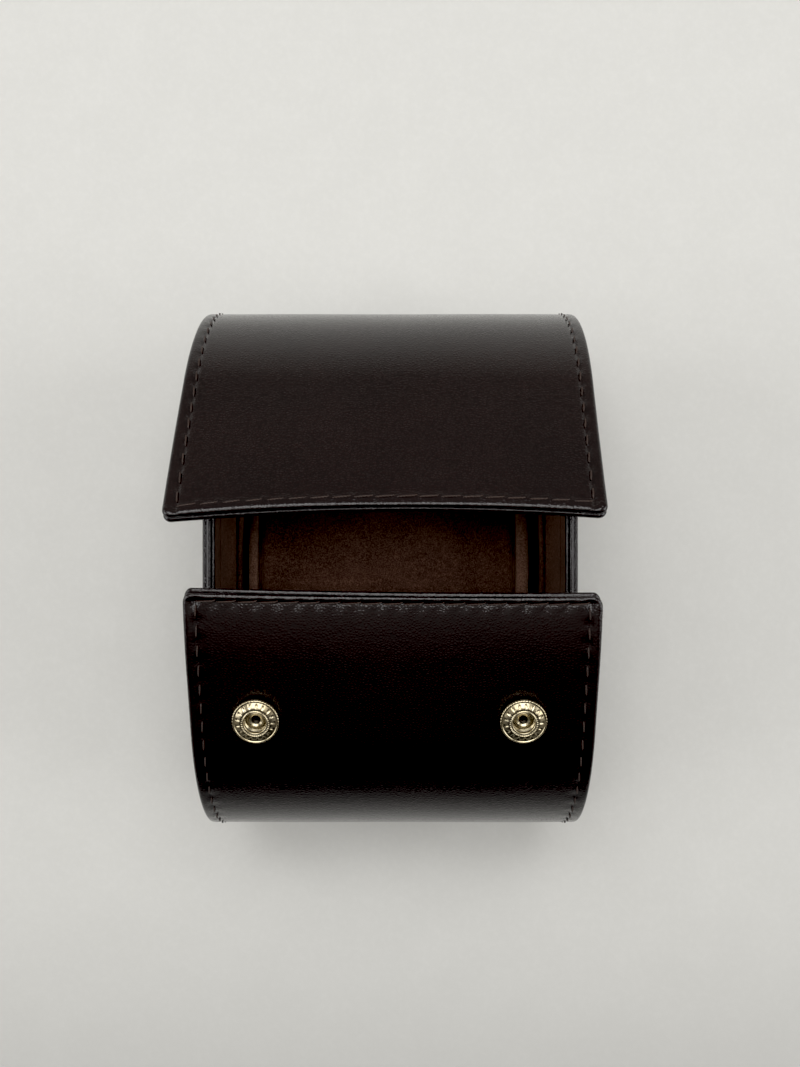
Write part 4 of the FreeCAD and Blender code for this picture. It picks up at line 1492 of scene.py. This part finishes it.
@dataclass(frozen=True)
class Cushion:
    """Loose watch cushion: a suede cover swelled by simulation between its seams, with a band at both ends;
    the bands' paler suede is painted light, and all of it has a painted shadow towards the back.

    Attributes:
        palette: materials of the roll.
        lean: how far it lies off the middle of the roll.
        half_length: half of its length along the roll.
        half: half of its depth.
        low: underside.
        high: crown.
        crown: rise of the crown over the shoulders.
        corner: rounding of its long edges.
        bands: left and right end band, from its seam to its end.
        give: most that the cover may move while it fills.
        room: furthest that it may reach to the front and back, and upwards.
        grip: distance from a seam within which the cover is held while it fills.
        sole: height over the underside up to which it is held.
        pucker: height of the puckers along the seams.
        pucker_pitch: one pucker to the next.
        pucker_reach: how far they fade from the seam.
        slack: height of the slow waves over the cover.
        girth: mean radius, which turns an angle round the cushion into a length.
        frames: frames of the simulation.
        steps: points round the cushion.
        near_seam: (distance from a seam, draw) of the rings over the seam.
        near_end: (distance from an end, draw) of the rings round its edge.
        face: share of the section of the rings over its end.
        cloth: settings of the simulation.
    """

    palette: Palette
    lean: float = -0.55
    half_length: float = 35.4
    half: float = 22.6
    low: float = 3.3
    high: float = 33.6
    crown: float = 4.6
    corner: float = 4.5
    bands: tuple[float, float] = (3.0, 3.9)
    give: float = 1.6
    room: tuple[float, float] = (24.2, 35.0)
    grip: float = 0.6
    sole: float = 1.0
    pucker: float = 0.1
    pucker_pitch: float = 3.4
    pucker_reach: float = 1.6
    slack: float = 0.16
    girth: float = 24.0
    frames: int = 20
    steps: int = 150
    near_seam: Pairs = (
        (-3.0, 0.01), (-2.0, 0.03), (-1.4, 0.07), (-1.0, 0.15), (-0.7, 0.4), (-0.5, 1.1), (-0.3, 2.4),
        (0.0, 2.9), (0.3, 2.4), (0.5, 1.2), (0.7, 0.5), (0.95, 0.24), (1.3, 0.14),
    )
    near_end: Pairs = ((-1.2, 0.14), (-0.7, 0.26), (-0.35, 0.5), (-0.12, 0.9), (0.0, 1.5))
    face: tuple[float, ...] = (0.93, 0.8, 0.62, 0.42, 0.2, 0.02)
    cloth: tuple[tuple[str, float], ...] = (
        ("quality", 5), ("mass", 0.3), ("use_pressure", True), ("uniform_pressure_force", 4.0),
        ("tension_stiffness", 15.0), ("compression_stiffness", 15.0), ("bending_stiffness", 1.0),
    )

    @property
    def middle(self) -> float:
        """Height of its middle."""
        return (self.low + self.high) / 2

    def section(self, draw: float) -> np.ndarray:
        """Closed outline across the cushion.

        Args:
            draw: how far the outline is drawn in all round.

        Returns:
            Even points, as (Y, Z) rows, from the middle of the underside.
        """
        radius = self.corner
        inner = self.half - draw - radius
        low = self.low + 0.3 * draw
        shoulder = self.high - self.crown - draw
        side = []
        for level, start in ((low + radius, -90.0), (shoulder - radius, 0.0)):
            turn = np.radians(np.linspace(start, start + 90.0, 24))
            side.append(np.stack([inner + radius * np.cos(turn), level + radius * np.sin(turn)], 1))
        across = np.linspace(inner, 0.0, 24)[1:]
        top = np.stack([across, shoulder + self.crown * (1.0 - (across / inner) ** 2)], 1)
        right = np.concatenate([[[0.0, low]], *side, top])
        loop = np.concatenate([right, right[-2:0:-1] * np.array([-1.0, 1.0]), right[:1]])
        return evenly(loop, self.steps)[0]

    def seams(self) -> tuple[float, float]:
        """Left and right seam, from the middle of the cushion."""
        return self.bands[0] - self.half_length, self.half_length - self.bands[1]

    def seam_gap(self, x: np.ndarray) -> np.ndarray:
        """Distance from the nearer seam."""
        return np.min([np.abs(x - seam) for seam in self.seams()], axis=0)

    def stations(self) -> list[Point]:
        """Places of the rings, closer together at the seams and the ends.

        Returns:
            (x, draw, share of the section) of every ring, from the left end to the right end.
        """
        left, right = self.seams()
        rings = [(x, 0.0, 1.0) for x in spaced(left + 4.0, right - 4.0, 1.3)]
        for side, seam in ((-1, left), (1, right)):
            rings += [(seam + side * off, draw, 1.0) for off, draw in self.near_seam]
            rings += [(side * (self.half_length + off), draw, 1.0) for off, draw in self.near_end]
            face = enumerate(self.face, 1)
            rings += [(side * (self.half_length + 0.01 * number), 1.5, share) for number, share in face]
        return sorted(rings)

    def cover(self) -> Piece:
        """Sews the cover, before it is filled.

        Returns:
            The piece.
        """
        middle = np.array([0.0, self.middle])
        stations = self.stations()
        rings = []
        for x, draw, share in stations:
            flat = middle + (self.section(draw) - middle) * share
            rings.append(np.concatenate([np.full((self.steps, 1), x + self.lean), flat], 1))
        left, right = self.seams()
        outer = np.array([x < left - 1e-9 or x > right + 1e-9 for x, _, _ in stations])
        # The end bands take the paler suede, which is painted light.
        slots = [1, 1] + np.repeat(outer[:-1] | outer[1:], self.steps).astype(int).tolist()
        faces = ring_faces(len(rings), self.steps, capped=True)
        skins = [self.palette[SHADOWED_PAD_SUEDE], self.palette[LIT_BAND_SUEDE]]
        return new_object("cushion_cover_suede", np.concatenate(rings), faces, skins, slots)

    def fill(self, piece: Piece) -> None:
        """Swells the cover between its seams with the cloth simulation and keeps the result.

        Args:
            piece: the cover.
        """
        start = self.read(piece)
        held = piece.vertex_groups.new(name="held")
        gap = self.seam_gap(start[:, 0] / MM - self.lean)
        gripped = (gap < self.grip) | (start[:, 2] < (self.low + self.sole) * MM)
        held.add(np.flatnonzero(gripped).tolist(), 1.0, "REPLACE")
        settings = piece.modifiers.new("filling", "CLOTH").settings
        for key, value in self.cloth:
            setattr(settings, key, value)
        settings.effector_weights.gravity = 0.0
        settings.vertex_group_mass = held.name
        for number in range(1, self.frames + 1):
            bpy.context.scene.frame_set(number)
        self.settle(piece)
        bpy.context.scene.frame_set(1)
        moved = self.read(piece) - start
        reach = np.linalg.norm(moved, axis=1, keepdims=True)
        moved *= np.minimum(1.0, self.give * MM / np.maximum(reach, 1e-9))
        LOG.info("cushion filled, most moved %.2f mm", float(reach.max()) / MM)
        self.write(piece, start + moved)

    @staticmethod
    def settle(piece: Piece) -> None:
        """Turns what the modifiers show into the piece's own mesh.

        Args:
            piece: the cover.
        """
        graph = bpy.context.evaluated_depsgraph_get()
        mesh = bpy.data.meshes.new_from_object(piece.evaluated_get(graph), depsgraph=graph)
        piece.modifiers.clear()
        piece.vertex_groups.clear()
        piece.data = mesh
        mesh.shade_smooth()

    @staticmethod
    def read(piece: Piece) -> np.ndarray:
        """Points of a piece.

        Args:
            piece: the piece.

        Returns:
            Points, one row each, in metres.
        """
        flat = np.empty(len(piece.data.vertices) * 3)
        piece.data.vertices.foreach_get("co", flat)
        return flat.reshape(-1, 3)

    @staticmethod
    def write(piece: Piece, points: np.ndarray) -> None:
        """Moves the points of a piece."""
        piece.data.vertices.foreach_set("co", points.ravel())
        piece.data.update()

    def ruffle(self, piece: Piece) -> None:
        """Lets the cover pucker along its seams, and keeps it in its room.

        Args:
            piece: the cover.
        """
        points = self.read(piece) / MM
        out = points - np.array([self.lean, 0.0, self.middle])
        out[:, 0] = 0.0
        out /= np.maximum(np.linalg.norm(out, axis=1, keepdims=True), 1e-6)
        x = points[:, 0]
        around = np.arctan2(points[:, 2] - self.middle, points[:, 1]) * self.girth
        near = bell(self.seam_gap(x - self.lean), self.pucker_reach)
        pucker = self.pucker * np.cos(around * TURN / self.pucker_pitch + np.sign(x)) * near
        slow = self.slack * np.sin(x / 9.3 + 0.5) * np.sin(around / 11.0 + x / 17.0)
        points += out * (pucker + slow)[:, None]
        depth, top = self.room
        reach = self.half_length + 0.5
        low, high = (self.lean - reach, -depth, self.low - 0.1), (self.lean + reach, depth, top)
        self.write(piece, np.clip(points, low, high) * MM)

    def build(self) -> None:
        """Builds, fills and sews the cushion."""
        piece = self.cover()
        self.fill(piece)
        self.ruffle(piece)
        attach(piece, "cushion")
        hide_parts("cushion_cover", "cushion_core", "cushion_left_band", "cushion_right_band")


@dataclass(frozen=True)
class SoftLight:
    """One large soft lamp of the studio.

    Attributes:
        name: name of the lamp.
        place: where it hangs, in metres.
        size: its two sides, in metres.
        power: its power, in watts.
        aim: point that it faces, in metres.
    """

    name: str
    place: Point
    size: tuple[float, float]
    power: float
    aim: Point = (0.0, 0.0, 0.03)

    def hang(self) -> None:
        """Hangs the lamp."""
        data = bpy.data.lights.new(self.name, "AREA")
        data.shape = "RECTANGLE"
        data.size, data.size_y = self.size
        data.energy = self.power
        lamp = bpy.data.objects.new(self.name, data)
        lamp.location = self.place
        lamp.rotation_euler = (Vector(self.aim) - Vector(self.place)).to_track_quat("-Z", "Y").to_euler()
        bpy.context.scene.collection.objects.link(lamp)


@dataclass(frozen=True)
class Studio:
    """Pale floor, soft lamps, dim room and the camera above the roll.

    Attributes:
        effects: shared shader groups.
        eye: the camera, in millimetres.
        focal: focal length, in pixels of the photograph.
        picture_height: height of the photograph, in pixels.
        sensor: longer side of the sensor, in millimetres.
        floor: height and reach of the floor, in millimetres.
        gloom: colour of the unlit room.
        glow: colour of its light.
        side_glow: share of that light at both sides.
        back_glow: share of it at the back wall.
        top_glow: share of it overhead.
        black: darkest tones that the picture drops.
        lamps: the lamps.
    """

    effects: Effects
    eye: Point = (2.3, 8.7, 305.1)
    focal: float = 1080.0
    picture_height: float = 1067.0
    sensor: float = 36.0
    floor: tuple[float, float] = (-0.15, 1500.0)
    gloom: Colour = (0.01, 0.01, 0.01, 1.0)
    glow: Colour = (1.0, 0.935, 0.86, 1.0)
    side_glow: float = 0.29
    back_glow: float = 0.34
    top_glow: float = 0.54
    black: Point = (0.0108, 0.0096, 0.0088)
    lamps: tuple[SoftLight, ...] = (
        SoftLight("back_window", (-0.1, 0.7, 1.15), (1.3, 0.5), 6.5),
        SoftLight("top_strip", (0.0, 0.05, 1.4), (1.2, 0.12), 1.2),
        SoftLight("ceiling", (0.0, 0.42, 1.5), (1.0, 0.9), 7.2),
        SoftLight("left_fill", (-1.1, 0.0, 0.6), (0.8, 0.9), 6.0),
        SoftLight("right_fill", (1.1, 0.0, 0.6), (0.8, 0.9), 6.3),
    )

    def build(self) -> None:
        """Builds the floor, the lamps, the room and the camera."""
        self.lay_floor()
        for lamp in self.lamps:
            lamp.hang()
        self.set_room()
        self.set_camera()
        self.set_tone()

    def lay_floor(self) -> None:
        """Pale matt floor under the roll."""
        level, reach = self.floor
        corners = np.array([(x * reach, y * reach, level) for x, y in ((-1, -1), (1, -1), (1, 1), (-1, 1))])
        floor = new_object("paper_floor", corners, [(0, 1, 2, 3)], [PAPER.material(self.effects)])

    def set_room(self) -> None:
        """Room that the leather reflects: dark in front, pale at the sides, the back wall and overhead."""
        world = bpy.data.worlds.new("studio_room")
        world.use_nodes = True
        graph = Graph(world.node_tree)
        graph.tree.nodes.clear()
        way = graph.add("ShaderNodeTexCoord").outputs["Generated"]
        parts = graph.add("ShaderNodeSeparateXYZ", {0: way}).outputs
        aside = graph.ramp(graph.math("ABSOLUTE", parts["X"]), 0.35, 0.95)
        side = graph.math("MULTIPLY", aside, self.side_glow)
        horizon = graph.math("ADD", graph.ramp(parts["Z"], 0.25, 0.02), graph.ramp(parts["Z"], 0.8, 0.5))
        behind = graph.math("MULTIPLY", graph.ramp(parts["Y"], 0.1, 0.7), horizon)
        back = graph.math("MULTIPLY", behind, self.back_glow)
        top = graph.math("MULTIPLY", graph.ramp(parts["Z"], 0.74, 0.98), self.top_glow)
        share = graph.math("MAXIMUM", graph.math("MAXIMUM", side, back), top)
        light = graph.tint(share, self.gloom, self.glow)
        sky = graph.add("ShaderNodeBackground", {"Color": light, "Strength": 1.0})
        graph.add("ShaderNodeOutputWorld", {"Surface": sky.outputs[0]})
        bpy.context.scene.world = world

    def set_camera(self) -> None:
        """Camera that looks straight down."""
        data = bpy.data.cameras.new("overhead")
        data.sensor_width = self.sensor
        data.lens = self.focal * self.sensor / self.picture_height
        data.clip_start = 0.01
        camera = bpy.data.objects.new("overhead", data)
        camera.location = [part * MM for part in self.eye]
        bpy.context.scene.collection.objects.link(camera)
        bpy.context.scene.camera = camera

    def set_tone(self) -> None:
        """Plain photographic tones with deep blacks."""
        view = bpy.context.scene.view_settings
        view.view_transform = "Standard"
        view.look = "None"
        view.use_curve_mapping = True
        view.curve_mapping.black_level = self.black
        view.curve_mapping.update()


def main() -> None:
    """Builds every piece of the roll and the studio round it."""
    logging.basicConfig(level=logging.INFO, format="%(message)s")
    effects = Effects()
    palette = Palette(effects)
    palette.dress_nodes()
    builders: list[Builder] = [Wrap(palette)]
    builders += [EndWall(end, palette) for end in End]
    builders += [SnapSocket(end, palette) for end in End]
    builders += [Cushion(palette), Studio(effects)]
    for builder in builders:
        before = set(bpy.data.objects)
        builder.build()
        for piece in sorted(set(bpy.data.objects) - before, key=lambda item: item.name):
            LOG.info("%s: %s", type(builder).__name__, piece.name)


if __name__ == "__main__":
    main()
